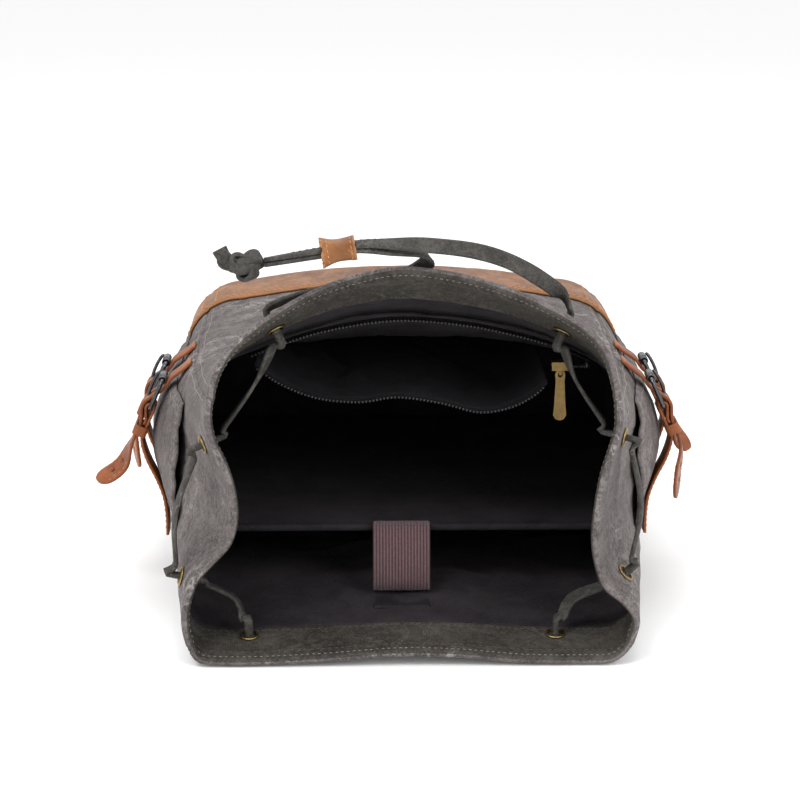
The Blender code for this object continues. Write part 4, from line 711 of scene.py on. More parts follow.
def end_route(index):
    place, way = eyelet_place(0 if index == 0 else 7)
    start = place - way * ((CANVAS + CLEAR + FACING) / 2 - 2 * CLEAR)
    out = place + way * 9 * MM
    if index == 0:
        free = [
            (-72, -175, 225), (-48, -175.5, 231.5), (-22, -177.5, 238), (0, -182, 243), (10, -191, 250),
            (7, -203, 257.5), (-8, -213, 260.5),
        ]
    else:
        free = [(93, -184, 227), (80, -195, 239), (59, -203, 252), (38, -209, 259.5), (10, -215, 264),
                (-12, -218, 265.5)]
    line = [start, out, *[np.array(p) * MM + SHIFT for p in free]]
    line += [toggle_point(r * MM, index) for r in (-13, 0, 16, 34)]
    line.append(toggle_point(KNOT_RUN, index))
    return np.array(line)


def strip_normals(route, turns):
    """The flat face's direction along a route, from (share of its length, direction) pairs."""
    shares = np.linspace(0, 1, len(route))
    return np.stack([np.interp(shares, [t for t, _ in turns], [way[i] for _, way in turns])
                     for i in range(3)], axis=1)


ends = []
for index, end_name in enumerate(("drawstring_tail_left", "drawstring_tail_right")):
    route = smooth_line(end_route(index), 6)
    count = int(line_length(route) / (2.6 * MM))
    route = spaced(route, count)
    place, way = eyelet_place(0 if index == 0 else 7)
    start_up = np.cross(way, [0, 1, 0.2])
    if index == 0:
        turns = [(0, start_up), (0.16, (-0.2, 0.5, 0.85)), (0.42, (0, 0.5, 0.85)), (0.56, (1, 0.2, 0.5)),
                 (0.68, (0.2, -0.4, 0.9)), (0.78, (0, -0.1, 1)), (1, (0, 0.12, 1))]
    else:
        turns = [(0, start_up), (0.14, (-0.5, -0.7, 0.45)), (0.34, (0, -0.95, 0.3)), (0.56, (0, -0.85, 0.5)),
                 (0.7, (0, -0.25, 1)), (1, (0, 0.12, 1))]
    up = strip_normals(route, turns)
    runs = np.linspace(0, line_length(route), len(route))
    wide = (5.6 * MM + (STRIP_WIDE - 5.6 * MM) * smoothstep(runs / (30 * MM)))
    thick = 3.6 * MM + (STRIP_THICK - 3.6 * MM) * smoothstep(runs / (30 * MM))
    in_toggle = np.linalg.norm(route - (TOGGLE_AT + SHIFT), axis=1)
    wide = wide - 0.8 * MM * near(in_toggle, 0.0, 30 * MM)
    wide = wide + 0.35 * MM * noise_at(route, 17 * MM, 5.0)
    tail = join_parts(end_name, [band(route, up, wide, thick, 0.42)], cord_cloth)
    across, above = frames_along(route, up)
    seam_parts = []
    for side in (-1, 1):
        seam = route + across * side * (wide / 2 - 1.3 * MM)[:, None] + above * (thick / 2)[:, None]
        seam_parts += stitches(seam[10:-6], above[10:-6], 2.6 * MM, 1.5 * MM, 0.45 * MM)
    seam_piece = join_parts(end_name + "_stitches", seam_parts, dark_thread)
    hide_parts(f"drawstring_end_{'left' if index == 0 else 'right'}")
    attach(tail, "root")
    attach(seam_piece, "root")
    ends.append((tail, route))


def build_knot():
    """An overhand knot of both strips, with their cut ends standing out of it."""
    centre = TOGGLE_AT + SHIFT + TOGGLE_RUN * (KNOT_RUN + 11 * MM)
    t = np.linspace(0, 2 * math.pi, 96, endpoint=False)
    x = np.sin(t) + 2 * np.sin(2 * t)
    y = np.cos(t) - 2 * np.cos(2 * t)
    z = -np.sin(3 * t)
    size = np.array([3.3, 2.6, 2.8]) * MM
    side = np.cross(TOGGLE_RUN, [0, 0, 1])
    side /= np.linalg.norm(side)
    up = np.cross(side, TOGGLE_RUN)
    path = centre + np.outer(x * size[0], TOGGLE_RUN) + np.outer(y * size[1], up) + np.outer(z * size[2],
                                                                                             side)
    out = path - centre
    closed = np.vstack([path[-1:], path, path[:1]])
    run = closed[2:] - closed[:-2]
    run /= np.linalg.norm(run, axis=1, keepdims=True)
    across = np.cross(run, out)
    across /= np.linalg.norm(across, axis=1, keepdims=True)
    above = np.cross(across, run)
    section = rounded_section(10.5 * MM, 3.0 * MM)
    rows = (path[:, None, :] + across[:, None, :] * section[None, :, :1]
            + above[:, None, :] * section[None, :, 1:])
    uv = np.stack([np.tile(section[:, 0], (96, 1)), np.tile(t[:, None] * 9 * MM, (1, len(section)))], axis=-1)
    parts = [(rows.reshape(-1, 3), closed_grid(rows, True, True), uv)]
    # a core keeps the knot from showing daylight
    turns = np.linspace(0, math.pi, 12)
    ball = [(max(math.sin(a), 0.02) * 7.4 * MM, -math.cos(a) * 10 * MM) for a in turns]
    matrix = Matrix.Translation(Vector(centre)) @ Vector(TOGGLE_RUN).to_track_quat("Z",
                                                                                   "Y").to_matrix().to_4x4()
    sides = 20
    angles = np.arange(sides) * 2 * math.pi / sides
    grid = np.array([[(r * math.cos(a), r * math.sin(a) * 0.8, h) for a in angles] for r, h in ball])
    m = np.array(matrix)
    parts.append((grid.reshape(-1, 3) @ m[:3, :3].T + m[:3, 3], tube_faces(len(ball), sides), None))
    for k, bend in enumerate(((0.25, 0.75), (-0.3, 0.35))):
        line = [centre + TOGGLE_RUN * a * MM + up * (b * MM * bend[1] * 1.6) + side * (k * 3 - 1.5) * MM
                for a, b in ((4, 0), (9, 3), (12.5, 7), (14.0 - 2 * k, 10.5))]
        line = smooth_line(line, 5)
        parts.append(band(line, side, np.linspace(7.5, 9.5, len(line)) * MM, 2.2 * MM))
    knot = join_parts("drawstring_knot_tied", parts, cord_cloth)
    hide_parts("drawstring_knot")
    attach(knot, "root")
    return knot


def build_toggle():
    """The leather keeper that both ends run through: a folded band, pinched in its middle."""
    up = np.array([0, 0, 1.0])
    side = np.cross(TOGGLE_RUN, up)
    side /= np.linalg.norm(side)
    up = np.cross(side, TOGGLE_RUN)
    inner, outer, uvs = [], [], []
    rows, columns = 25, 40
    for i in range(rows):
        run = (i / (rows - 1) - 0.5) * TOGGLE_LONG
        flare = abs(2 * run / TOGGLE_LONG) ** 1.7 * (2.6 if run > 0 else 0.8) * MM
        loops = []
        for grow in (0.0, 2.1 * MM):
            half = np.array([5.5 * MM + grow + flare * 0.4, 4.3 * MM + grow + flare])
            a = np.arange(columns) * 2 * math.pi / columns
            shape = np.stack([np.sign(np.cos(a)) * np.abs(np.cos(a)) ** 0.55 * half[0],
                              np.sign(np.sin(a)) * np.abs(np.sin(a)) ** 0.55 * half[1]], axis=1)
            snip = 0.0
            if i in (0, rows - 1):
                snip = np.where(np.arange(columns) % 4 < 2, 0.9 * MM, -0.6 * MM) * (1.0 if i else -0.3)
            ring = (TOGGLE_AT + SHIFT + np.outer(np.full(columns, run) + snip, TOGGLE_RUN)
                    + np.outer(shape[:, 0], side) + np.outer(shape[:, 1], up))
            loops.append(ring)
        inner.append(loops[0])
        outer.append(loops[1])
        uvs.append(run)
    grid = np.array(outer + inner[::-1])
    uv = np.zeros((*grid.shape[:2], 2))
    uv[..., 0] = np.arange(columns) * 1.1 * MM
    uv[..., 1] = np.array(uvs + uvs[::-1])[:, None]
    toggle = add_piece("toggle_leather", grid, closed_grid(grid, True, True), leather, uv=uv)
    parts = []
    for run in (-7.4 * MM, 7.0 * MM):
        i = int(round((run / TOGGLE_LONG + 0.5) * (rows - 1)))
        loop = np.vstack([outer[i], outer[i][:1]])
        parts += stitches(loop, loop - (TOGGLE_AT + SHIFT + TOGGLE_RUN * run), 2.2 * MM, 1.2 * MM, 0.6 * MM)
    thread = join_parts("toggle_stitches", parts, tan_thread)
    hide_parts("drawstring_toggle")
    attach(toggle, "drawstring_toggle")
    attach(thread, "drawstring_toggle")
    return toggle, thread


knot_piece = build_knot()
toggle_piece, toggle_thread = build_toggle()
for (tail, route), pieces_on in zip(ends, ([knot_piece, toggle_piece, toggle_thread], [])):
    line_length(route)


def towards(start, target, length):
    away = target - start
    return start + away / np.linalg.norm(away) * length


def build_laced_strip():
    """The strip where it is laced through the eyelets, pinched in each and flat on the cloth between them."""
    points, ways, pinch = [], [], []
    thickness = CANVAS + CLEAR + FACING
    reach = 1.6 * MM + 2.0 * MM + 0.2 * MM
    for index in range(8):
        place, way = eyelet_place(index)
        outwards = index % 2 == 1
        line = [place - way * (thickness + reach), place - way * thickness / 2, place + way * reach]
        line = line if outwards else line[::-1]
        if index == 0:
            line = line[1:]
        if index == 7:
            line = line[:-1]
        if points:
            bow = np.array(STRETCH_BOW[index - 1]) * MM
            start, end = points[-1], line[0]
            middle = (start + end) / 2 + bow
            points += [towards(start, middle, 8 * MM), middle, towards(end, middle, 8 * MM)]
            ways += [ways[-1], (ways[-1] + way) / 2, way]
            pinch += [0.45, 0.0, 0.45]
        points += line
        ways += [way] * len(line)
        pinch += [1.0] * len(line)
    facts = np.hstack([np.array(points), np.array(ways), np.array(pinch)[:, None]])
    fine = smooth_line(facts, 6)
    count = int(line_length(fine[:, :3]) / (3 * MM))
    runs = np.concatenate([[0], np.cumsum(np.linalg.norm(np.diff(fine[:, :3], axis=0), axis=1))])
    want = np.linspace(0, runs[-1], count)
    fine = np.stack([np.interp(want, runs, fine[:, i]) for i in range(7)], axis=1)
    route, up, held = fine[:, :3], fine[:, 3:6], np.clip(fine[:, 6], 0, 1)
    run = np.gradient(route, axis=0)
    run /= np.linalg.norm(run, axis=1, keepdims=True)
    # inside an eyelet the run lies along the cloth's normal, so the last sideways direction is kept there
    across, last = [], None
    for r, u in zip(run, up):
        side = np.cross(r, u)
        size = np.linalg.norm(side)
        side = side / size if size > 0.55 or last is None else last
        if last is not None and side @ last < 0:
            side = -side
        side = side - r * (side @ r)
        side /= np.linalg.norm(side)
        last = side if last is None else (0.6 * last + 0.4 * side)
        last = last / np.linalg.norm(last)
        across.append(last)
    face = np.cross(np.array(across), run)
    wide = 9.6 * MM - 3.6 * MM * held
    thick = 2.4 * MM + 1.4 * MM * held
    points, faces, uv = band(route, face, wide, thick, 0.42)
    points[:, 2] = np.maximum(points[:, 2], 0.15 * MM)
    strip = join_parts("drawstring_laced", [(points, faces, uv)], cord_cloth)
    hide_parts("drawstring")
    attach(strip, "root")


build_eyelets()
build_laced_strip()


# ---- canvas shell -------------------------------------------------------------------------------
RIM_PROFILE = [
    (0.0, 4.5), (0.0, 2.5), (0.25, 1.3), (0.9, 0.45), (1.9, 0.0), (3.0, 0.15), (3.9, 0.8), (4.5, 1.9),
    (4.7, 3.4),
    (4.72, 8.0), (4.7, 12.6), (4.6, 13.4), (4.35, 13.7), (4.1, 13.4), (4.05, 12.6), (4.0, 4.6), (3.7, 3.2),
    (2.9, 2.8), (2.3, 3.2), (2.0, 4.6),
]


def shell_profile():
    """(depth, along) round a panel's section: up its outer face, over the hem, down its inner face."""
    end = LEATHER_START + LEATHER_LAP
    rows_out = np.linspace(end, 8 * MM, 92)
    rows_in = np.linspace(8 * MM, end, 24)
    outer = [(0.0, s) for s in rows_out]
    inner = [(CANVAS, s) for s in rows_in]
    return np.array(outer + [(d * MM, s * MM) for d, s in RIM_PROFILE] + inner)


def seam_dip(t):
    """The cloth dips where it is sewn to the next panel."""
    return 0.9 * MM * np.maximum(near(t, 0.0, 0.016), near(t, 1.0, 0.016))


def build_panel(panel, name, node, columns):
    index = PANELS.index(panel)
    t = np.linspace(0, 1, columns + 1)
    edge = 0.0002
    t[0], t[-1] = edge, 1 - edge
    t = np.sort(np.concatenate([t, [0.006, 0.014, 0.986, 0.994]]))
    profile = shell_profile()
    ring, along = np.meshgrid(index + t, profile[:, 1], indexing="ij")
    depth = np.broadcast_to(profile[:, 0], ring.shape)
    dip = seam_dip(ring - index)
    # the hem swells a little between its stitches and its fold
    swell = 0.35 * MM * near(along, 4 * MM, 5 * MM) * np.where(depth < 1 * MM, 1.0, 0.0)
    p = surface(ring, along, depth + dip - swell)
    girth = line_length(wall(index + np.linspace(0, 1, 60), 200 * MM))
    uv = np.stack([(ring - index) * girth, along + depth * 3], axis=-1)
    faces = tube_faces(*p.shape[:2])
    # the panel's inner faces take the darker inside canvas: painted shade over the cloth's duller back
    piece = add_piece(name, p, faces, canvas, uv=uv, finishes=(canvas_inside_shaded,),
                      face_finish=hem_faces(p, profile))
    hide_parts(node)
    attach(piece, "root")


def hem_faces(p, profile):
    """The finish of each face: faces on the cloth's inner side, where it turns in over the rim and down
    inside, take the darker inside canvas, partly the cloth's duller back and partly painted shade.
    """
    rows, columns = p.shape[:2]
    inside = (profile[:, 0] > 2.9 * MM) | ((profile[:, 0] >= CANVAS) & (profile[:, 1] > 8 * MM))
    across = np.array([int(inside[j] and inside[(j + 1) % columns]) for j in range(columns)])
    return np.concatenate([np.tile(across, rows - 1), [0, 0]]).astype(int)


def ring_line(along, depth):
    """Places and directions all the way round the mouth at one distance from the rim."""
    count = 900
    ring = np.linspace(0.0, 4.0, count)
    return surface(ring, np.full(count, along), depth), outward(ring, np.full(count, along))


build_panel("back", "back_panel_cloth", "back_panel", 74)
build_panel("right", "side_panel_right_cloth", "side_panel_right", 44)
build_panel("front", "front_panel_cloth", "front_panel", 84)
build_panel("left", "side_panel_left_cloth", "side_panel_left", 44)


def build_rim_stitches():
    parts = []
    line, way = ring_line(4.2 * MM, 0.0)
    parts += stitches(line, way, 2.4 * MM, 1.2 * MM, 0.5 * MM)
    line, way = ring_line(4.2 * MM, 4.66 * MM)
    parts += stitches(line, -way, 2.4 * MM, 1.2 * MM, 0.5 * MM)
    for ring in (0.0, 1.0, 2.0, 3.0):
        for step in (-0.022, 0.022):
            along = np.linspace(14 * MM, LEATHER_START - 2 * MM, 160)
            spot = np.full(160, ring + step)
            line = surface(spot, along, seam_dip(np.mod(spot, 1.0)))
            parts += stitches(line, outward(spot, along), *BOLD_STITCH)
    thread = join_parts("canvas_stitches", parts, pale_thread)
    line, way = ring_line(10.6 * MM, 4.72 * MM)
    parts = stitches(line, -way, 2.6 * MM, 1.3 * MM, 0.5 * MM)
    line, way = ring_line(FACING_WIDTH - 4.5 * MM, CANVAS + CLEAR + FACING)
    parts += stitches(line, -way, 2.6 * MM, 1.3 * MM, 0.5 * MM)
    inner_thread = join_parts("facing_stitches", parts, dark_thread)
    for piece in (thread, inner_thread):
        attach(piece, "root")


build_rim_stitches()


def build_facing():
    start, end = 14.2 * MM, FACING_WIDTH
    near_start = 5 * MM
    depth0, depth1 = CANVAS + CLEAR, CANVAS + CLEAR + FACING
    profile = [(depth1 - 0.1 * MM, near_start)]
    profile += [(depth1, s) for s in np.linspace(start, end - 1 * MM, 12)]
    profile += [(depth1 - 0.35 * MM, end - 0.2 * MM), (depth0 + 0.7 * MM, end),
                (depth0 + 0.3 * MM, end - 0.3 * MM)]
    profile += [(depth0, s) for s in np.linspace(end - 1.5 * MM, near_start, 5)]
    profile = np.array(profile)
    ring, along = np.meshgrid(np.linspace(0, 4, 480, endpoint=False), profile[:, 1], indexing="ij")
    depth = np.broadcast_to(profile[:, 0], ring.shape)
    p = surface(ring, along, depth)
    uv = np.stack([ring * 0.24, along], axis=-1)
    # the facing is the darker inside canvas: painted shade of the bag's inside over the cloth's own colour
    piece = add_piece("mouth_facing_cloth", p, closed_grid(p, True, True), canvas_inside_shaded, uv=uv)
    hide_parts("mouth_facing")
    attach(piece, "root")


build_facing()


def closed_sack(outer, inner):
    """Points and faces of a sack: two grids of rings, joined at the mouth and closed at the end."""
    columns = outer.shape[1]
    grid = np.concatenate([outer[::-1], inner])
    faces = []
    for i in range(grid.shape[0] - 1):
        for j in range(columns):
            m = (j + 1) % columns
            a, b = i * columns, (i + 1) * columns
            faces.append((a + j, a + m, b + m, b + j))
    points = list(grid.reshape(-1, 3))
    last = (grid.shape[0] - 1) * columns
    faces.append(tuple(range(columns - 1, -1, -1)))
    faces.append(tuple(last + j for j in range(columns)))
    return np.array(points), faces


def lining_slack(ring, along):
    """The lining hangs loose: it creases further into the bag than the canvas does."""
    p = wall(ring, along)
    free = smoothstep((along - 50 * MM) / (35 * MM)) * (1 - smoothstep((along - 380 * MM) / (30 * MM)))
    back = near(ring, 0.5, 0.62)
    deep = 2.4 * ridge_at(p * np.array([0.6, 1.2, 1]), 46 * MM, 31.0) + 1.1 * (noise_at(p, 24 * MM, 17.0)
                                                                               + 0.8)
    front = np.maximum(near(ring, 2.5, 0.6), 0)
    return deep * MM * free * (0.25 + 1.25 * back) * (1 - 0.75 * front)


def build_lining():
    depth = CANVAS + CLEAR
    along = np.concatenate([np.linspace(FACING_WIDTH + 0.3 * MM, 380 * MM, 76),
                            np.linspace(384 * MM, 425 * MM, 10)])
    ring = np.linspace(0, 4, 300, endpoint=False)
    a, r = np.meshgrid(along, ring, indexing="ij")
    outer = surface(r, a, depth)
    inner = surface(r, a, depth + LINING + lining_slack(r, a))
    # the bottom closes in rings towards its middle
    centre = inner[-1].mean(axis=0)
    caps_in = [centre + (inner[-1] - centre) * s + np.array([0, (1 - s) * 2 * MM, 0])
               for s in (0.8, 0.55, 0.3, 0.1)]
    caps_out = [centre + (outer[-1] - centre) * s + np.array([0, 1.4 * MM + (1 - s) * 2 * MM, 0])
                for s in (0.8, 0.55, 0.3, 0.1)]
    outer = np.concatenate([outer, np.array(caps_out)])
    inner = np.concatenate([inner, np.array(caps_in)])
    p, faces = closed_sack(outer, inner)
    runs = np.concatenate([along, [along[-1] + v * MM for v in (20, 50, 80, 100)]])
    grid_uv = np.stack(np.meshgrid(ring * 0.24, np.concatenate([runs[::-1], runs]), indexing="xy"), axis=-1)
    piece = add_piece("lining_cloth", p, faces, twill, uv=grid_uv)
    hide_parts("lining")
    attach(piece, "root")


build_lining()


def build_leather_base():
    top = CLEAR + LEATHER
    edge = [(-(CLEAR + 0.15 * MM), 0.6), (-(CLEAR + 0.5 * MM), 0.15), (-(CLEAR + 1.2 * MM), 0.0),
            (-(top - 0.3 * MM), 0.3), (-top, 1.2)]
    angles = np.radians([0, 12, 24, 36, 48, 60, 70, 79, 86])
    body = [LEATHER_START + v * MM for v in (3, 6, 9, 13, 18, 24, 31, 39, 47, 55, 61)]
    corner = [BAG_LENGTH - BASE_CORNER * (1 - math.sin(a)) for a in angles]
    outside = [(d, LEATHER_START + s * MM) for d, s in edge] + [(-top, s) for s in body + corner]
    inside = [(-CLEAR, LEATHER_START + v * MM) for v in (1.0, 3, 18, 40)]
    inside += [(-CLEAR, s - LEATHER) for s in corner]
    columns = 340
    ring = np.linspace(0, 4, columns, endpoint=False)

    def rings(places):
        places = np.array(places)
        a, r = np.meshgrid(places[:, 1], ring, indexing="ij")
        d = np.broadcast_to(places[:, :1], a.shape)
        seam = sum(near(np.mod(r, 4.0), c, 0.012) for c in (2.0, 3.0))
        return surface(r, a, d + 0.7 * MM * seam)

    outer, inner = rings(outside), rings(inside)
    centre = outer[-1].mean(axis=0)
    caps_out, caps_in = [], []
    for s in (0.93, 0.82, 0.68, 0.52, 0.36, 0.2, 0.07):
        row = centre + (outer[-1] - centre) * s
        bulge = 0.8 * MM * noise_at(row, 45 * MM, 2.0) - 1.2 * MM * math.sin(math.pi * s)
        caps_out.append(row + np.outer(bulge, [0, 1, 0]) + np.array([0, 0.4 * MM, 0]))
        caps_in.append(row - np.array([0, LEATHER + 1.4 * MM, 0]))
    outer = np.concatenate([outer, np.array(caps_out)])
    inner = np.concatenate([inner, np.array(caps_in)])
    outer[..., 2] = np.maximum(outer[..., 2], 0.1 * MM)
    p, faces = closed_sack(outer, inner)
    piece = add_piece("leather_base_shell", p, faces, leather)
    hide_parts("leather_base")
    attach(piece, "root")
    parts = []
    for row in (3.6 * MM, 8.2 * MM):
        line, way = ring_line(LEATHER_START + row, -top)
        parts += stitches(line, way, 3.2 * MM, 1.5 * MM, 0.75 * MM)
    for c in (2.0, 3.0):
        for step in (-0.028, 0.028):
            along = np.linspace(LEATHER_START + 10 * MM, BAG_LENGTH - 2 * MM, 90)
            spot = np.full(90, c + step)
            parts += stitches(surface(spot, along, -top), outward(spot, along), 3.2 * MM, 1.5 * MM, 0.75 * MM)
    thread = join_parts("leather_base_stitches", parts, tan_thread)
    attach(thread, "root")


build_leather_base()

# ---- side pockets -------------------------------------------------------------------------------
POCKET_START, POCKET_END = 108 * MM, LEATHER_START - 3 * MM
POCKET_BULGE, POCKET_LOW, POCKET_HIGH = 12 * MM, 0.24, 0.86


def pocket_bulge(share, along):
    """How far the side pocket's cloth stands off the side panel."""
    run = (along - POCKET_START) / (POCKET_END - POCKET_START)
    fall = smoothstep((1 - run) / 0.25)
    round_off = np.sin(np.pi * np.clip(share, 0, 1)) ** 1.1
    return 2 * CLEAR + POCKET_BULGE * round_off * (0.42 + 0.58 * smoothstep(run * 3)) * fall


def side_ring(side, share):
    t = POCKET_LOW + (POCKET_HIGH - POCKET_LOW) * share
    return 1 + t if side > 0 else 4 - t


def pocket_surface(side, share, along, extra):
    """The side pocket's outer cloth, with folds that gather towards its mouth."""
    ring = side_ring(side, share)
    p = wall(ring, along)
    free = np.sin(np.pi * np.clip(share, 0, 1)) * (1 - strap_mask(ring, along))
    folds = noise_at(p * np.array([1, 0.3, 1.3]), 20 * MM, 8.0) * near(along, POCKET_START, 90 * MM)
    folds = folds * 1.5 + 0.8 * noise_at(p, 34 * MM, 15.0)
    return surface(ring, along, -(pocket_bulge(share, along) + extra + folds * free * MM))


def cloth_patch(name, at_place, share_count, starts, ends, thick, finish, scale=0.2):
    """A pocket's cloth: a grid over its shares, folded over as a hem at its mouth."""
    hem = 11 * MM
    out = [(thick, s) for s in np.linspace(ends, starts + hem + 1 * MM, 60)]
    out += [(thick + 0.6 * MM, starts + hem), (thick + 0.7 * MM, starts + hem - 1 * MM)]
    out += [(thick + 0.7 * MM, s) for s in np.linspace(starts + hem - 2.5 * MM, starts + 2 * MM, 5)]
    out += [(thick + 0.4 * MM, starts + 0.6 * MM), (thick * 0.6, starts), (thick * 0.1, starts + 0.5 * MM)]
    out += [(0.0, s) for s in np.linspace(starts + 2 * MM, ends, 24)]
    profile = np.array(out)
    share, along = np.meshgrid(np.linspace(0, 1, share_count), profile[:, 1], indexing="ij")
    p = at_place(share, along, np.broadcast_to(profile[:, 0], share.shape))
    uv = np.stack([share * scale, along], axis=-1)
    return add_piece(name, p, tube_faces(*p.shape[:2]), finish, uv=uv)


def build_side_pocket(side_name, side):
    def at_place(share, along, extra):
        pressed = 1.2 * MM * np.maximum(near(share, 0, 0.035), near(share, 1, 0.035))
        return pocket_surface(side, share, along, np.maximum(extra - pressed * (extra > 1 * MM), 0.0))

    name = f"side_pocket_{side_name}_cloth"
    piece = cloth_patch(name, at_place, 46, POCKET_START, POCKET_END, CANVAS, canvas, scale=0.13)
    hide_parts(f"side_pocket_{side_name}")
    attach(piece, "root")
    parts = []
    share = np.linspace(0.02, 0.98, 120)
    for row, lift in ((8.5 * MM, 2.7 * MM), (3 * MM, 2.7 * MM)):
        line = pocket_surface(side, share, np.full(120, POCKET_START + row), lift)
        ring = side_ring(side, share)
        parts += stitches(line, outward(ring, np.full(120, POCKET_START + row)), *BOLD_STITCH)
    along = np.linspace(POCKET_START + 2 * MM, POCKET_END - 3 * MM, 120)
    for edge in (0.055, 0.945):
        spot = np.full(120, edge)
        line = pocket_surface(side, spot, along, 2.0 * MM)
        parts += stitches(line, outward(side_ring(side, spot), along), *BOLD_STITCH)
    thread = join_parts(f"side_pocket_{side_name}_stitches", parts, pale_thread)
    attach(thread, "root")


for side_name, side in (("left", -1), ("right", 1)):
    build_side_pocket(side_name, side)

# ---- side straps and roller buckles -------------------------------------------------------------
STRAP_WIDTH, STRAP_THICK, WIRE = 19 * MM, 2.2 * MM, 1.5 * MM
BUCKLE_WIDTH, ROLLER_RADIUS, RUNNING, PRONG = 26 * MM, 2.9 * MM, 0.35 * MM, 1.2 * MM
TAB_LAYER, KEEPER_THICK = 1.9 * MM, 1.6 * MM
TAB_OFFSET = WIRE + CLEAR + TAB_LAYER / 2
STRAP_OVER = WIRE + 2 * CLEAR + TAB_LAYER + STRAP_THICK / 2
TAILS = {
    ("left", "upper"): [(15.5, -30), (20, -40), (28, -47), (38, -51)],
    ("left", "lower"): [(14, -32), (14, -44), (12, -57)],
    ("right", "upper"): [(13.5, -32), (12, -48), (11, -66)],
    ("right", "lower"): [(15, -30), (19, -39), (26, -45)],
}
TAIL_TWIST = {("left", "upper"): 24, ("left", "lower"): 14, ("right", "upper"): 16, ("right", "lower"): 30}
LEAN, RISE = math.sin(BUCKLE_TILT), math.cos(BUCKLE_TILT)


def side_surface(side, along, height):
    """How far out the side's outermost cloth lies at that height, without its creases."""
    share = np.linspace(0, 1, 101)
    bulge = pocket_bulge(share, along) + CANVAS
    ring = side_ring(side, share)
    p = wall(ring, along) + outward(ring, np.full(101, along)) * bulge[:, None]
    return abs(p[np.argmin(np.abs(p[:, 2] - height)), 0] - CENTRE_SHIFT)


def buckle_pivot(side, roller):
    """How far out the pivot bar lies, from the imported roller, which is BUCKLE_BAR away."""
    low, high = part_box(roller)
    return side * ((low.x + high.x) / 2 - CENTRE_SHIFT) + LEAN * BUCKLE_BAR


def in_buckle(out, up):
    return out * RISE + up * LEAN, up * RISE - out * LEAN


def buckle_frame_matrix(side, pivot_x, along):
    return Matrix((
        (side * RISE, -side * LEAN, 0, side * pivot_x + CENTRE_SHIFT),
        (0, 0, 1, along - BAG_LENGTH / 2),
        (LEAN, RISE, 0, BUCKLE_PIVOT_HEIGHT),
        (0, 0, 0, 1),
    ))


def carried(matrix, points):
    m = np.array(matrix)
    return np.asarray(points, float) @ m[:3, :3].T + m[:3, 3]


def tube_along(points, radius, sides):
    """Points and faces of a closed loop of round wire, in a plane whose normal is the first axis."""
    points = np.asarray(points, float)
    wrapped = np.vstack([points[-1:], points, points[:1]])
    run = wrapped[2:] - wrapped[:-2]
    run /= np.linalg.norm(run, axis=1, keepdims=True)
    first = np.broadcast_to([1.0, 0, 0], run.shape)
    second = np.cross(run, first)
    turns = np.arange(sides) * 2 * math.pi / sides
    rows = (points[:, None, :] + first[:, None, :] * (radius * np.cos(turns))[None, :, None]
            + second[:, None, :] * (radius * np.sin(turns))[None, :, None])
    return rows.reshape(-1, 3), closed_grid(rows, True, True)


def strap_piece(name, path, place, width, thick, tip, cutters, finish, twist=0.0, loose=None):
    """A leather strap along a path in the buckle's own plane, with slots and holes cut through it.

    Past the height `loose` its free end turns its face by `twist` towards the mouth."""
    line = spaced(smooth_line([(a, b, 0) for a, b in path], 6),
                  int(line_length([(a, b, 0) for a, b in path]) / (1.1 * MM)))
    run = np.gradient(line, axis=0)
    run /= np.linalg.norm(run, axis=1, keepdims=True)
    above = np.stack([-run[:, 1], run[:, 0], np.zeros(len(run))], axis=1)
    runs = np.linspace(0, line_length(line), len(line))
    wide = np.full(len(line), width)
    over = np.tile([0, 0, 1.0], (len(line), 1))
    if twist:
        start = runs[np.argmax((line[:, 1] < loose) & (runs > runs[-1] / 3))]
        turn = (twist * smoothstep((runs - start) / (24 * MM)))[:, None]
        above, over = above * np.cos(turn) - over * np.sin(turn), over * np.cos(turn) + above * np.sin(turn)
    if tip:
        left = runs[-1] - runs
        wide = width * np.sqrt(np.clip(1 - (1 - np.clip(left / tip, 0, 1)) ** 2, 0.02, 1))
    rows, uv = [], []
    for k in range(len(line)):
        section = rounded_section(wide[k], thick, 0.36)
        rows.append(line[k] + above[k] * section[:, 1:] + over[k] * section[:, :1])
        uv.append(np.stack([section[:, 0], np.full(len(section), runs[k])], axis=1))
    rows = np.array(rows)
    piece = add_piece(name, carried(place, rows.reshape(-1, 3)), tube_faces(*rows.shape[:2]), finish,
                      uv=np.array(uv))
    if cutters:
        parts = []
        for centre, direction, half in cutters:
            centre, direction = np.array(centre, float), np.array(direction, float)
            side_way = np.array([-direction[1], direction[0], 0])
            turns = np.arange(16) * 2 * math.pi / 16
            hole = np.stack([np.cos(turns) * half[1], np.sin(turns) * half[0]], axis=1)
            if half[2]:
                hole = np.array([(a, b) for b in (-half[0], half[0]) for a in (-half[1], half[1])])[[0, 1,
                                                                                                     3, 2]]
            caps = [centre + direction * d + side_way * hole[:, :1] + np.array([0, 0, 1.0]) * hole[:, 1:]
                     for d in (-7 * MM, 7 * MM)]
            caps = np.array(caps)
            parts.append((carried(place, caps.reshape(-1, 3)), tube_faces(*caps.shape[:2]), None))
        cutter = join_parts(name + "_cutter", parts, finish)
        change = piece.modifiers.new("holes", "BOOLEAN")
        change.solver = "EXACT"
        change.object = cutter
        settle(piece)
        bpy.data.objects.remove(cutter)
    return piece, line, above, over, runs


def settle(piece):
    """Makes a piece's modifiers part of its mesh."""
    bpy.context.view_layer.update()
    seen = piece.evaluated_get(bpy.context.evaluated_depsgraph_get())
    made = bpy.data.meshes.new_from_object(seen)
    piece.modifiers.clear()
    piece.data = made


def strap_stitches(line, above, over, place, width, start, stop, face=1):
    parts = []
    chosen = slice(start, stop)
    for edge in (-1, 1):
        seam = line[chosen] + above[chosen] * face * 1.05 * MM + over[chosen] * edge * (width / 2 - 2.1 * MM)
        way = carried(place, above[chosen] * face) - carried(place, np.zeros((1, 3)))
        parts += stitches(carried(place, seam), way, 2.5 * MM, 1.2 * MM, 0.6 * MM)
    return parts


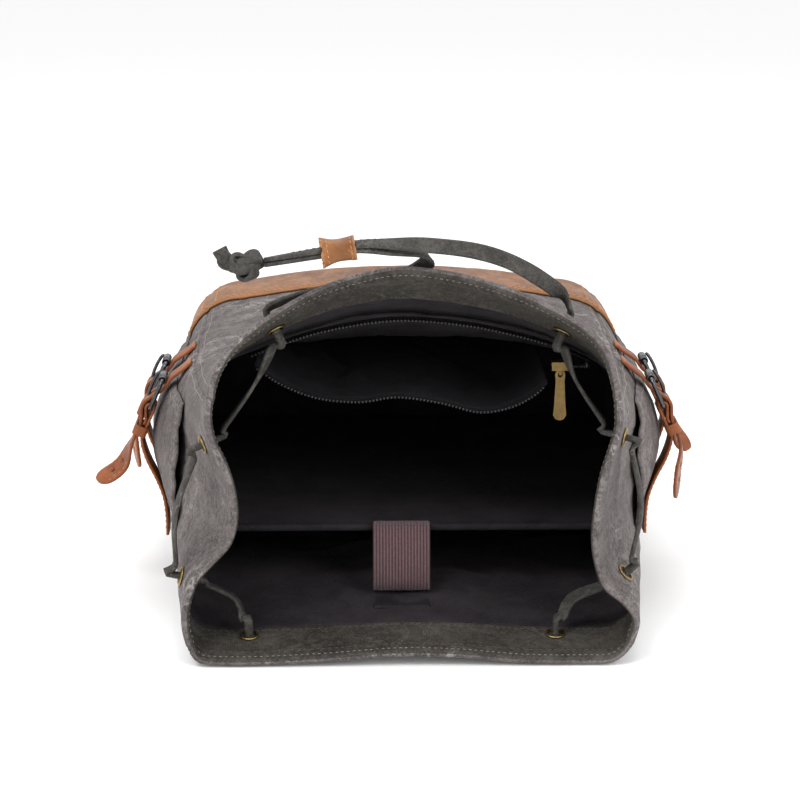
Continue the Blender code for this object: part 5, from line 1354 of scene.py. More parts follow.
def build_buckle(side_name, level):
    side = 1 if side_name == "right" else -1
    pivot_x, along = buckle_pivot(side, f"buckle_roller_{side_name}_{level}"), BUCKLE_ALONG[level]
    place = buckle_frame_matrix(side, pivot_x, along)
    label = f"{side_name}_{level}"
    half, bend = BUCKLE_WIDTH / 2, 3.5 * MM

    # the frame's bent wire
    loop = []
    for k, (up, across) in enumerate([(0, half), (BUCKLE_BAR, half), (BUCKLE_BAR, -half), (0, -half)]):
        to_up, to_across = math.copysign(bend, BUCKLE_BAR / 2 - up), math.copysign(bend, -across)
        for turn in np.radians((180, 90, 0, -90)[k] - np.linspace(0, 90, 7)):
            loop.append((0, up + to_up + bend * math.cos(turn), across + to_across + bend * math.sin(turn)))
    points, faces = tube_along(loop, WIRE, 14)
    wire = add_piece(f"wire_frame_{label}", carried(place, points), faces, gunmetal)
    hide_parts(f"buckle_frame_{label}")
    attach(wire, "root")

    # the roller, a rolled tube with rounded ends and an open seam line
    length = BUCKLE_WIDTH - 2 * bend - 1 * MM
    bore, e = WIRE + RUNNING, 0.35 * MM
    profile = [(bore, -length / 2 + e), (bore + e, -length / 2), (ROLLER_RADIUS - e, -length / 2),
               (ROLLER_RADIUS, -length / 2 + e), (ROLLER_RADIUS, length / 2 - e),
               (ROLLER_RADIUS - e, length / 2),
               (bore + e, length / 2), (bore, length / 2 - e)]
    points, faces, _ = turned(profile, 32, place @ Matrix.Translation((0, BUCKLE_BAR, 0)))
    roller = add_piece(f"roller_tube_{label}", points, faces, gunmetal)
    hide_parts(f"buckle_roller_{label}")
    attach(roller, f"buckle_roller_{label}")

    # the prong: a ring on the pivot bar and a bent pin that lies on the roller
    rest = ROLLER_RADIUS + CLEAR + PRONG
    pin = smooth_line([(bore + 0.7 * MM, 0.6 * MM, 0), (4.6 * MM, 7 * MM, 0), (rest + 0.7 * MM, 14 * MM, 0),
                       (rest, BUCKLE_BAR, 0), (rest - 1 * MM, BUCKLE_BAR + 3 * MM, 0)], 6)
    across, above = frames_along(pin, (0, 0, 1))
    girth = PRONG * np.interp(np.linspace(0, 1, len(pin)), [0, 0.1, 0.9, 1], [0.8, 1, 0.95, 0.55])
    turns = np.arange(10) * math.pi / 5
    rows = np.array([pin[i] + across[i] * np.cos(turns)[:, None] * girth[i]
                     + above[i] * np.sin(turns)[:, None] * girth[i]
                     for i in range(len(pin))])
    ring = [(bore, -PRONG + 0.2 * MM), (bore + 0.3 * MM, -PRONG), (bore + 1.0 * MM, -PRONG),
            (bore + 1.3 * MM, -PRONG + 0.3 * MM), (bore + 1.3 * MM, PRONG - 0.3 * MM),
            (bore + 1.0 * MM, PRONG),
            (bore + 0.3 * MM, PRONG), (bore, PRONG - 0.2 * MM)]
    parts = [(carried(place, rows.reshape(-1, 3)), tube_faces(*rows.shape[:2]), None),
             turned(ring, 24, place)]
    prong = join_parts(f"prong_pin_{label}", parts, gunmetal)
    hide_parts(f"buckle_prong_{label}")
    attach(prong, f"buckle_prong_{label}")

    # the lower strap, which turns round the pivot bar and back on itself
    stand = TAB_LAYER / 2 + CLEAR + 0.7 * MM
    lower = [in_buckle(side_surface(side, along, BUCKLE_PIVOT_HEIGHT - v * MM) + stand - pivot_x, -v * MM)
             for v in (88, 76, 62, 50)]
    below = -TAB_OFFSET
    turned_back = below + TAB_LAYER + CLEAR
    lower += [in_buckle(3.2 * MM, -34 * MM), (below, -21 * MM), (below, -12 * MM), (below, 0)]
    lower += [(below * 0.7, TAB_OFFSET * 0.7), (0, TAB_OFFSET), (TAB_OFFSET * 0.7, TAB_OFFSET * 0.7),
              (TAB_OFFSET, 0)]
    lower += [(1.1 * MM, -4.6 * MM), (turned_back, -9 * MM), (turned_back, -12 * MM)]
    slot = [((0, 4 * MM, 0), (1, 0, 0), (PRONG + 0.8 * MM, 8 * MM, 1))]
    tab, line, above, over, runs = strap_piece(f"buckle_tab_{label}", lower, place, STRAP_WIDTH, TAB_LAYER,
                                               0, slot,
                                         strap_leather)
    stop = int(np.argmin(np.abs(line[:, 1] + 24 * MM)))
    parts = strap_stitches(line, above, over, place, STRAP_WIDTH, 3, stop, -1)

    # the holed strap, from the side's upper seam under the roller, over the bar and through the keeper
    under = -(ROLLER_RADIUS + CLEAR + STRAP_THICK / 2)
    keeper_out = below + 2 * (TAB_LAYER + CLEAR) + (STRAP_THICK - TAB_LAYER) / 2
    upper = []
    for share in (0.995, 0.96):
        place_ring = 1 + share if side > 0 else 4 - share
        p = wall(place_ring, along) + outward(place_ring, along) * (STRAP_THICK / 2 + CLEAR + 0.4 * MM)
        upper.append(in_buckle(abs(p[0] - CENTRE_SHIFT) - pivot_x, p[2] - BUCKLE_PIVOT_HEIGHT))
    upper += [(under - 0.4 * MM, BUCKLE_BAR + 2.5 * MM), (under, BUCKLE_BAR), (under + 1.4 * MM, 15.5 * MM)]
    upper += [(1.6 * MM, 8.5 * MM), (STRAP_OVER, 2.5 * MM), (STRAP_OVER + 0.2 * MM, -1.5 * MM)]
    upper += [(keeper_out + 1.5 * MM, -7 * MM), (keeper_out, -13 * MM), (keeper_out + 0.1 * MM, -22 * MM)]
    upper += [in_buckle(a * MM, b * MM) for a, b in TAILS[side_name, level]]
    rough = spaced(smooth_line([(a, b, 0) for a, b in upper], 6), 200)
    way = np.gradient(rough, axis=0)
    way /= np.linalg.norm(way, axis=1, keepdims=True)
    holes = [((0, 5.5 * MM, 0), (1, 0, 0), (PRONG + 0.8 * MM, 7.5 * MM, 1))]
    full = line_length(rough)
    for back in (13 * MM, 23 * MM):
        k = int(200 * (1 - back / full))
        holes.append((tuple(rough[k]), (-way[k, 1], way[k, 0], 0), (1.7 * MM, 1.7 * MM, 0)))
    holed, line, above, over, runs = strap_piece(
        f"punched_strap_{label}", upper, place, STRAP_WIDTH, STRAP_THICK, 11 * MM, holes, strap_leather,
        math.radians(TAIL_TWIST[side_name, level]), -21.5 * MM)
    start = int(np.argmin(np.abs(runs - (full - 26 * MM))))
    for face in (-1, 1):
        parts += strap_stitches(line, above, over, place, STRAP_WIDTH, start, -7, face)

    # the keeper, a band round both straps
    inner_low, inner_high = below - TAB_LAYER / 2 + 0.4 * MM, keeper_out + STRAP_THICK / 2 + CLEAR
    wide, deep = STRAP_WIDTH + 2 * CLEAR + KEEPER_THICK, inner_high - inner_low + KEEPER_THICK
    loop = rounded_section(wide, deep, 0.28, 5)
    loops, sideways = [], []
    for k in range(len(loop)):
        run = loop[(k + 1) % len(loop)] - loop[k - 1]
        run /= np.linalg.norm(run)
        sideways.append((run[1], -run[0]))
    section = rounded_section(7 * MM, KEEPER_THICK, 0.35, 3)
    middle = (inner_low + inner_high) / 2
    for (w, x), (nw, nx) in zip(loop, sideways):
        loops.append([(middle + x + nx * d, -17 * MM + b, w + nw * d) for b, d in section])
    loops = np.array(loops)
    keeper = add_piece(f"strap_keeper_{label}", carried(place, loops.reshape(-1, 3)),
                       closed_grid(loops, True, True),
                       strap_leather)
    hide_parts(f"buckle_strap_{label}")
    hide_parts(f"holed_strap_{label}")
    thread = join_parts(f"strap_stitches_{label}", parts, tan_thread)
    for piece in (tab, holed, keeper, thread):
        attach(piece, "root")


for side_name in ("left", "right"):
    for level in BUCKLE_ALONG:
        build_buckle(side_name, level)

# ---- inside: laptop sleeve, its strap and the zipped pocket --------------------------------------
DIVIDER_HEIGHT, DIVIDER_THICK = 60 * MM, 6 * MM
DIVIDER_START, DIVIDER_END = 96 * MM, 404 * MM
INNER = CANVAS + CLEAR + LINING


def inside_x(along, height):
    """Half the clear width inside the lining at that height, on the narrower side."""
    found = []
    for index in (3, 1):
        ring = np.linspace(index, index + 1, 121)
        p = wall(ring, along) - outward(ring, np.full(121, along)) * INNER
        found.append(abs(p[np.argmin(np.abs(p[:, 2] - height)), 0] - CENTRE_SHIFT))
    return min(found)


def lining_height(x, along, front):
    """Height of the lining's face over or under a place, with x measured from the bag's middle."""
    index = 2 if front else 0
    ring = np.linspace(index, index + 1, 301)
    p = wall(ring, along) - outward(ring, np.full(301, along)) * INNER
    return p[np.argmin(np.abs(p[:, 0] - CENTRE_SHIFT - x)), 2]


def build_divider():
    """The sleeve's padded wall, quilted along its length, with a corded edge towards the mouth."""
    stations = np.concatenate([[DIVIDER_START, DIVIDER_START + 1 * MM],
                               np.linspace(DIVIDER_START + 4 * MM, DIVIDER_END, 60)])
    halves = np.array([min(inside_x(s, DIVIDER_HEIGHT + v) for v in (0, DIVIDER_THICK / 2, DIVIDER_THICK))
                       for s in stations])
    across = np.linspace(-1, 1, 61)
    k, s = np.meshgrid(across, stations)
    half = halves[:, None] - 0.8 * MM
    x = half * k + CENTRE_SHIFT
    y = s - BAG_LENGTH / 2
    swell = np.sqrt(np.clip(np.abs(np.sin(np.pi * (s - DIVIDER_START) / (77 * MM))), 0.05,
                            1)) * np.clip(1 - np.abs(k) ** 8, 0, 1)
    rounding = smoothstep((s - DIVIDER_START) / (4 * MM))
    p0 = np.stack([x, y, np.zeros_like(x)], axis=-1)
    ripple = 0.35 * MM * noise_at(p0, 26 * MM, 4.0)
    thick = (1.6 * MM + (DIVIDER_THICK / 2 - 1.6 * MM) * swell) * (0.55 + 0.45 * rounding) + ripple
    middle = DIVIDER_HEIGHT + DIVIDER_THICK / 2
    top = np.stack([x, y, middle + thick], axis=-1)
    low = np.stack([x, y, middle - thick], axis=-1)
    loop = np.concatenate([top, low[:, ::-1]], axis=1)
    uv = np.stack([np.concatenate([x, x[:, ::-1] + 0.4], axis=1), np.concatenate([y, y], axis=1)], axis=-1)
    pad = add_piece("sleeve_pad", loop, tube_faces(*loop.shape[:2]), twill, uv=uv)
    edge = np.stack([np.linspace(-1, 1, 80) * (halves[0] - 3 * MM) + CENTRE_SHIFT,
                     np.full(80, DIVIDER_START - BAG_LENGTH / 2 + 1.0 * MM), np.full(80, middle)], axis=1)
    turns = np.arange(12) * math.pi / 6
    rows = np.array([q + np.outer(np.cos(turns), [0, 2.1 * MM, 0]) + np.outer(np.sin(turns), [0, 0, 2.6 * MM])
                     for q in edge])
    cord_edge = add_piece("sleeve_piping", rows, tube_faces(*rows.shape[:2]), twill_dark_and_shaded)
    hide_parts("laptop_divider")
    for piece in (pad, cord_edge):
        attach(piece, "root")


build_divider()
STRAP_X, WEB_WIDTH, WEB_THICK = -5 * MM, 37 * MM, 1.6 * MM
STRAP_HINGE = (DIVIDER_START - 1.1 * MM, DIVIDER_HEIGHT + DIVIDER_THICK + CLEAR + WEB_THICK / 2)
PATCH_START, PATCH_LENGTH, PATCH_THICK = 66 * MM, 26 * MM, 1.4 * MM


def build_laptop_strap():
    hinge_s, hinge_z = STRAP_HINGE
    floor_z = max(lining_height(STRAP_X, s, False) for s in (PATCH_START, PATCH_START + PATCH_LENGTH))
    lie = floor_z + PATCH_THICK + 2 * CLEAR + 0.7 * MM + WEB_THICK / 2
    patch_end = PATCH_START + PATCH_LENGTH
    path = [
        (hinge_s - 0.1 * MM, hinge_z), (hinge_s - 6 * MM, hinge_z - 1.5 * MM),
        (hinge_s - 11 * MM, hinge_z - 8 * MM),
        (hinge_s - 14 * MM, hinge_z - 20 * MM), (hinge_s - 15 * MM, (hinge_z + lie) / 2 - 4 * MM),
        (hinge_s - 14 * MM, lie + 7 * MM), (hinge_s - 10 * MM, lie + 1.5 * MM), (patch_end - 3 * MM, lie),
    ]
    line = smooth_line([(STRAP_X + CENTRE_SHIFT, s - BAG_LENGTH / 2, z) for s, z in path], 8)
    line = spaced(line, 70)
    run = np.gradient(line, axis=0)
    run /= np.linalg.norm(run, axis=1, keepdims=True)
    out = np.cross(run, [1.0, 0, 0])
    rows, uv = [], []
    runs = np.linspace(0, line_length(line), len(line))
    teeth = np.linspace(-1, 1, 75)
    for k in range(len(line)):
        # the ribs run lengthwise, with a flat selvedge on each side
        rib = np.where(np.abs(teeth) < 0.93, 0.22 * MM * np.cos(teeth * math.pi * 18), -0.1 * MM)
        edge = np.sqrt(np.clip(1 - np.abs(teeth) ** 14, 0, 1))
        top = [line[k] + np.array([w * WEB_WIDTH / 2, 0, 0])
               + out[k] * ((WEB_THICK / 2 - 0.2 * MM) * e + r * e)
               for w, r, e in zip(teeth, rib, edge)]
        low = [line[k] + np.array([w * WEB_WIDTH / 2, 0, 0]) - out[k] * (WEB_THICK / 2 - 0.1 * MM) * e
               for w, e in zip(teeth[::-4], edge[::-4])]
        rows.append(top + low[1:-1])
        uv.append([(w * WEB_WIDTH / 2, runs[k]) for w in [*teeth, *teeth[::-4][1:-1]]])
    rows = np.array(rows)
    web = add_piece("laptop_strap_web", rows, tube_faces(*rows.shape[:2]), elastic, uv=np.array(uv))
    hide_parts("laptop_strap")
    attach(web, "laptop_strap")
    parts = []
    for row in (4, 8):
        seam = line[row] + np.outer(np.linspace(-16, 16, 30) * MM, [1, 0, 0]) + out[row] * 0.8 * MM
        parts += stitches(seam, out[row], 2.4 * MM, 1.2 * MM, 0.5 * MM)
    thread = join_parts("laptop_strap_stitches", parts, dark_thread)
    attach(thread, "laptop_strap")

    # the hook patch that the strap closes on
    grid = []
    xs = np.linspace(-0.5, 0.5, 30) * WEB_WIDTH + STRAP_X
    ss = np.linspace(PATCH_START, patch_end, 24)
    heights = [max(lining_height(x, s, False), lining_height(x, max(s - 5 * MM, 50 * MM), False)) + 0.8 * MM
               for s in (ss[0], ss[12], ss[-1]) for x in (xs[0], xs[15], xs[-1])]
    heights = np.array(heights).reshape(3, 3)
    for i, s in enumerate(ss):
        row_heights = [np.interp(s, [ss[0], ss[12], ss[-1]], heights[:, j]) for j in range(3)]
        base = np.interp(xs, [xs[0], xs[15], xs[-1]], row_heights)
        edge = min(1.0, 0.35 + 0.65 * min(i, len(ss) - 1 - i))
        hooks = 0.18 * MM * np.where((np.arange(30) + i) % 2 == 0, 1, -1)
        side_edge = np.minimum(1.0, 0.35 + 0.65 * np.minimum(np.arange(30), 29 - np.arange(30)))
        top = np.stack([xs + CENTRE_SHIFT, np.full(30, s - BAG_LENGTH / 2),
                        base + (PATCH_THICK + hooks) * edge * side_edge], axis=1)
        low = np.stack([xs + CENTRE_SHIFT, np.full(30, s - BAG_LENGTH / 2), base], axis=1)[::-1]
        grid.append(np.vstack([top, low]))
    grid = np.array(grid)
    patch = add_piece("hook_patch_fastener", grid, tube_faces(*grid.shape[:2]), twill_dark_and_shaded)
    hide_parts("hook_patch")
    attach(patch, "root")


build_laptop_strap()
ZIP_ALONG, ZIP_TAPE, POCKET_DEEP = 70 * MM, 13 * MM, 235 * MM
ZIP_HANG = [
    (-98, 177), (-84, 167), (-60, 157), (-32, 154), (-8, 157), (20, 153), (45, 147), (66, 151), (80, 159),
    (87, 166),
]
ZIP_SLIDER_X, ZIP_STOP = 95 * MM, 110.5 * MM


def tape_height(x):
    return min(lining_height(x, ZIP_ALONG + v, True) for v in (-ZIP_TAPE / 2, 0, ZIP_TAPE / 2)) - 1.5 * MM


def tape_part(line, up_way):
    """A flat tape with a corded edge where its teeth grip it. line is (across, height)."""
    places = np.stack([line[:, 0] + CENTRE_SHIFT, np.full(len(line), ZIP_ALONG - BAG_LENGTH / 2),
                       line[:, 1]], axis=1)
    run = np.gradient(places, axis=0)
    run /= np.linalg.norm(run, axis=1, keepdims=True)
    up = np.cross([0, 1.0, 0], run) * -up_way
    section = [(-6.5, 0.1), (-6.4, 0.5), (-6.0, 0.75), (-5.0, 0.8), (-4.4, 0.55), (5.8, 0.5), (6.4, 0.3),
               (6.5, 0.1),
               (6.3, 0.02), (-6.2, 0.02)]
    rows = np.array([p + np.array([(0, a * MM, 0) for a, b in section])
                     + np.outer([b * MM for a, b in section], u)
                     for p, u in zip(places, up)])
    runs = np.concatenate([[0], np.cumsum(np.linalg.norm(np.diff(places, axis=0), axis=1))])
    uv = np.array([[(a * MM, r) for a, b in section] for r in runs])
    return (rows.reshape(-1, 3), tube_faces(*rows.shape[:2]), uv), places, up


def teeth_parts(places, up):
    """A row of zip teeth that grip a tape's corded edge."""
    pitch = 2.3 * MM
    runs = np.concatenate([[0], np.cumsum(np.linalg.norm(np.diff(places, axis=0), axis=1))])
    parts = []
    for want in np.arange(pitch, runs[-1] - pitch, pitch):
        centre = np.array([np.interp(want, runs, places[:, i]) for i in range(3)])
        way = np.array([np.interp(want, runs, up[:, i]) for i in range(3)])
        along = np.cross(way, [0, 1.0, 0])
        rows = []
        for y, w, h in ((-8.4, 0.42, 0.5), (-8.2, 0.6, 0.85), (-7.4, 0.62, 1.0), (-6.4, 0.5, 1.1),
                        (-5.0, 0.5, 1.1), (-4.8, 0.4, 0.8)):
            section = [(-w, -h + 0.45), (w, -h + 0.45), (w, h * 0.6 + 0.45), (0.4 * w, h + 0.45),
                       (-0.4 * w, h + 0.45), (-w, h * 0.6 + 0.45)]
            rows.append([centre + np.array([0, y * MM, 0]) + along * a * MM + way * b * MM for a,
                         b in section])
        rows = np.array(rows)
        parts.append((rows.reshape(-1, 3), tube_faces(*rows.shape[:2]), None))
    return parts


def build_zip():
    low = spaced(smooth_line(ZIP_HANG, 8), 150) * MM
    part, places, up = tape_part(low, 1)
    # the tapes take the darker twill: their own dark tape cloth with painted shade from the front panel above
    tape = join_parts("zip_tape_hanging", [part], twill_dark_and_shaded)
    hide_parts("zip_tape_lower")
    teeth = join_parts("zip_teeth_hanging", teeth_parts(places, up), black_zip)
    xs = np.linspace(-101 * MM, 113 * MM, 120)
    rough = np.array([tape_height(x) for x in np.linspace(xs[0], xs[-1], 25)])
    high = np.stack([xs, np.interp(xs, np.linspace(xs[0], xs[-1], 25), rough)], axis=1)
    part, places, up = tape_part(high, 1)
    upper = join_parts("zip_tape_fixed", [part], twill_dark_and_shaded)
    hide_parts("zip_tape_upper")
    chain = []
    keep = places[:, 0] < CENTRE_SHIFT + ZIP_SLIDER_X - 7 * MM
    fixed = teeth_parts(places[keep], up[keep])
    for piece in (tape, upper):
        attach(piece, "root")
    # the closed stretch of teeth beyond the slider, and its end stop
    lowest = min(tape_height(ZIP_SLIDER_X + v * MM) for v in (-6, 0, 6, 12, 19))
    chain_z = lowest - CLEAR - 5.4 * MM / 2
    for k, x in enumerate(np.arange(ZIP_SLIDER_X - 3 * MM, ZIP_STOP + 2 * MM, 1.15 * MM)):
        side = 1 if k % 2 else -1
        rows = []
        for dx in (-0.45, 0.45):
            rows.append([(x + CENTRE_SHIFT + dx * MM, ZIP_ALONG - BAG_LENGTH / 2 + (y + 0.6 * side) * MM,
                          chain_z + z * MM)
                         for y, z in ((-1.8, -0.7), (-1.2, -1.0), (1.2, -1.0), (1.8, -0.7), (1.8, 0.7),
                                      (1.2, 1.0), (-1.2, 1.0), (-1.8, 0.7))])
        rows = np.array(rows)
        chain.append((rows.reshape(-1, 3), tube_faces(*rows.shape[:2]), None))
    rows = []
    top = tape_height(ZIP_STOP + 3 * MM) + 0.4 * MM
    for z, grow in ((chain_z - 1.0 * MM, 0.8), (chain_z - 0.7 * MM, 1.0), (chain_z + 1.2 * MM, 1.0),
                    (top, 0.7)):
        rows.append([(ZIP_STOP + 1.5 * MM + CENTRE_SHIFT + a * 1.5 * grow * MM,
                      ZIP_ALONG - BAG_LENGTH / 2 + b * 2.2 * grow * MM, z)
                     for a, b in ((-1, -0.7), (-0.7, -1), (0.7, -1), (1, -0.7), (1, 0.7), (0.7, 1),
                                  (-0.7, 1), (-1, 0.7))])
    rows = np.array(rows)
    chain.append((rows.reshape(-1, 3), tube_faces(*rows.shape[:2]), None))
    closed_teeth = join_parts("zip_teeth_fixed", fixed + chain, black_zip)
    for piece in (teeth, closed_teeth):
        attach(piece, "root")


build_zip()


def build_zip_pocket():
    """The zipped pocket's cloth, hanging open, sewn to the lining at its far edge."""
    edge = spaced(smooth_line(ZIP_HANG, 8), 90) * MM
    shares = np.linspace(0, 1, 46)
    grid = np.zeros((len(shares), len(edge), 3))
    for i, share in enumerate(shares):
        s = ZIP_ALONG + ZIP_TAPE / 2 + CLEAR + (POCKET_DEEP - ZIP_ALONG) * share
        xs = np.linspace(edge[0, 0], edge[-1, 0], 15)
        roof = np.interp(edge[:, 0], xs, [lining_height(x, s, True) - 1.0 * MM for x in xs])
        z = edge[:, 1] + 0.5 * MM + (roof - edge[:, 1] - 0.5 * MM) * share ** 2.2
        grid[i] = np.stack([edge[:, 0] + CENTRE_SHIFT, np.full(len(edge), s - BAG_LENGTH / 2),
                            np.minimum(z, roof)], axis=1)
    sideways = np.sin(np.pi * np.linspace(0, 1, len(edge))) ** 0.5
    inwards = np.sin(np.pi * np.clip(shares, 0, 0.94)) ** 0.5
    free = sideways[None, :] * inwards[:, None]
    folds = 1.7 * noise_at(grid * np.array([1, 0.35, 1]), 19 * MM, 6.0)
    folds = folds - 1.3 * ridge_at(grid * np.array([0.8, 0.5, 1]), 27 * MM, 9.0)
    grid[..., 2] += np.minimum(folds, 0.0) * free * MM * 1.6
    top = grid.copy()
    top[..., 2] -= 0.05 * MM
    low = grid.copy()
    low[..., 2] -= 0.75 * MM
    loop = np.concatenate([top, low[:, ::-1]], axis=1)
    u = np.concatenate([edge[:, 0], edge[::-1, 0] + 0.3])
    uv = np.stack(np.meshgrid(u, shares * 0.165), axis=-1)
    # the darker twill paints the shade under the front panel onto the pocket cloth
    cloth = add_piece("zip_pocket_cloth", loop, tube_faces(*loop.shape[:2]), twill_dark_and_shaded, uv=uv)
    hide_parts("zip_pocket")
    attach(cloth, "root")
    wide = float(np.mean([line_length(row) for row in grid]))
    long = float(np.mean([line_length(grid[:, j]) for j in range(grid.shape[1])]))


build_zip_pocket()

# ---- front pocket and its flap ------------------------------------------------------------------
FRONT_POCKET_START, FRONT_POCKET_END = 205 * MM, 336 * MM
FRONT_POCKET_LOW, FRONT_POCKET_HIGH, FRONT_POCKET_DEEP = 0.27, 0.73, 7.5 * MM
FLAP_START, FLAP_END, FLAP_WIDTH = 186 * MM, 268 * MM, 118 * MM


def build_front_pocket():
    def at_place(share, along, extra):
        ring = 2 + FRONT_POCKET_LOW + (FRONT_POCKET_HIGH - FRONT_POCKET_LOW) * share
        run = (along - FRONT_POCKET_START) / (FRONT_POCKET_END - FRONT_POCKET_START)
        swell = np.sin(np.pi * np.clip(share, 0, 1)) ** 0.6 * smoothstep((1 - run) / 0.3)
        return surface(ring, along, -(CLEAR + FRONT_POCKET_DEEP * swell + extra))

    cloth = cloth_patch("front_pocket_cloth", at_place, 50, FRONT_POCKET_START, FRONT_POCKET_END, CANVAS,
                        canvas)
    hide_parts("front_pocket")
    parts = []
    share = np.linspace(0.03, 0.97, 90)
    for row in (3 * MM, 8.5 * MM):
        spot = np.full(90, FRONT_POCKET_START + row)
        way = outward(2.5 + 0 * share, spot)
        parts += stitches(at_place(share, spot, 2.75 * MM), way, *BOLD_STITCH)
    spot = np.linspace(FRONT_POCKET_START + 3 * MM, FRONT_POCKET_END - 3 * MM, 90)
    for edge in (0.03, 0.97):
        line = at_place(np.full(90, edge), spot, 2.05 * MM)
        parts += stitches(line, (0, 0, 1), *BOLD_STITCH)
    line = at_place(share, np.full(90, FRONT_POCKET_END - 3 * MM), 2.05 * MM)
    parts += stitches(line, (0, 0, 1), *BOLD_STITCH)
    thread = join_parts("front_pocket_stitches", parts, pale_thread)
    for piece in (cloth, thread):
        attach(piece, "root")


def build_flap():
    """The pocket's leather flap, sewn on at its upper edge, with rounded lower corners."""
    def crown(s):
        return float(wall(2.5, s)[2])

    hinge = crown(FLAP_START) + CLEAR + LEATHER / 2 + 0.45 * MM
    over = FRONT_POCKET_DEEP + CANVAS + 2 * CLEAR + LEATHER / 2 + 0.9 * MM
    path = [(0, FLAP_START, hinge), (0, FLAP_START + 9 * MM, hinge + 3.6 * MM),
            (0, FRONT_POCKET_START - 2 * MM, crown(FRONT_POCKET_START) + over),
            (0, 232 * MM, crown(240 * MM) + over),
            (0, FLAP_END, crown(FLAP_END) + over)]
    line = spaced(smooth_line(path, 8), 60)
    line[:, 0] += CENTRE_SHIFT
    line[:, 1] -= BAG_LENGTH / 2
    left = np.linspace(line_length(line), 0, len(line))
    corner = 24 * MM
    inset = corner - np.sqrt(np.maximum(corner ** 2 - np.maximum(corner - left, 0) ** 2, 0))
    wide = np.maximum(FLAP_WIDTH - 2 * inset, 74 * MM)
    points, faces, uv = band(line, (0, 0, 1), wide, LEATHER - 0.1 * MM, 0.4)
    flap = join_parts("pocket_flap_leather", [(points, faces, uv)], leather)
    across, above = frames_along(line, (0, 0, 1))
    parts = []
    for side in (-1, 1):
        edge = line + across * side * (wide / 2 - 4 * MM)[:, None] + above * 1.0 * MM
        parts += stitches(edge[1:-4], above[1:-4], 3.2 * MM, 1.6 * MM, 0.7 * MM)
    for k in (2, len(line) - 5):
        row = line[k] + np.outer(np.linspace(-1, 1, 60) * (wide[k] / 2 - 4 * MM),
                                 across[k]) + above[k] * 1.0 * MM
        parts += stitches(row, above[k], 3.2 * MM, 1.6 * MM, 0.7 * MM)
    thread = join_parts("pocket_flap_stitches", parts, tan_thread)
    # a domed snap cap that holds the flap to the pocket
    k = len(line) - 11
    way = Vector(above[k])
    place = Matrix.Translation(Vector(line[k])) @ way.to_track_quat("Z", "Y").to_matrix().to_4x4()
    low = LEATHER / 2 - 0.4 * MM
    profile = [(0.3 * MM, low), (5.2 * MM, low), (5.6 * MM, low + 0.5 * MM), (5.2 * MM, low + 1.0 * MM),
               (3.2 * MM, low + 1.5 * MM), (0.3 * MM, low + 1.7 * MM)]
    snap = join_parts("pocket_flap_snap", [turned(profile, 32, place)], brass)
    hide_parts("front_pocket_flap")
    for piece in (flap, thread, snap):
        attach(piece, "front_pocket_flap")


build_front_pocket()
build_flap()

# ---- back: yoke, hang loop, shoulder straps and the folded lid -----------------------------------
YOKE_START, YOKE_END, YOKE_LOW, YOKE_HIGH = 66 * MM, 122 * MM, 0.27, 0.73
HANDLE_START, HANDLE_RADIUS = 82 * MM, 3.0 * MM
PAD_BOTTOM, PAD_TOP = 3.2 * MM, 9.6 * MM
LID_THICK, LID_HINGE, LID_END, LID_WIDTH = 2.2 * MM, 47 * MM, 262 * MM, 236 * MM


def build_yoke():
    """The leather patch that the shoulder straps and the hang loop are sewn under, with rounded corners."""
    columns = 60
    share = np.linspace(0, 1, columns)
    span, corner = 150 * MM, 14 * MM
    edge = np.minimum(share, 1 - share) * span
    inset = corner - np.sqrt(np.maximum(corner ** 2 - np.maximum(corner - edge, 0) ** 2, 0))
    profile = [(LEATHER * 0.65, 0), (LEATHER, 1 * MM)]
    inner = np.linspace(0.06, 0.94, 26)
    rows = []
    for s0, s1, t in zip(YOKE_START + inset, YOKE_END - inset, share):
        places = [(p[0], s0 + p[1]) for p in profile] + [(LEATHER, s0 + (s1 - s0) * b) for b in inner]
        places += [(p[0], s1 - p[1]) for p in profile[::-1]]
        places += [(0.0, s1 - 0.3 * MM), *[(0.0, s0 + (s1 - s0) * b) for b in inner[::-2]],
                   (0.0, s0 + 0.3 * MM)]
        places = np.array(places)
        ring = YOKE_LOW + (YOKE_HIGH - YOKE_LOW) * t
        rows.append(surface(ring, places[:, 1], -(CLEAR + places[:, 0]), 0.4))
    rows = np.array(rows)
    yoke = add_piece("yoke_leather", rows, tube_faces(*rows.shape[:2]), leather)
    parts = []
    ring = np.linspace(YOKE_LOW + 0.012, YOKE_HIGH - 0.012, 90)
    for s in (YOKE_START + 4 * MM, YOKE_START + 8 * MM, YOKE_END - 4 * MM, YOKE_END - 8 * MM):
        row = surface(ring[6:-6], np.full(78, s), -(CLEAR + LEATHER), 0.4)
        parts += stitches(row, outward(ring[6:-6], np.full(78, s)), 3.2 * MM, 1.6 * MM, 0.7 * MM)
    thread = join_parts("yoke_stitches", parts, tan_thread)
    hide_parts("strap_yoke")
    for piece in (yoke, thread):
        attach(piece, "root")


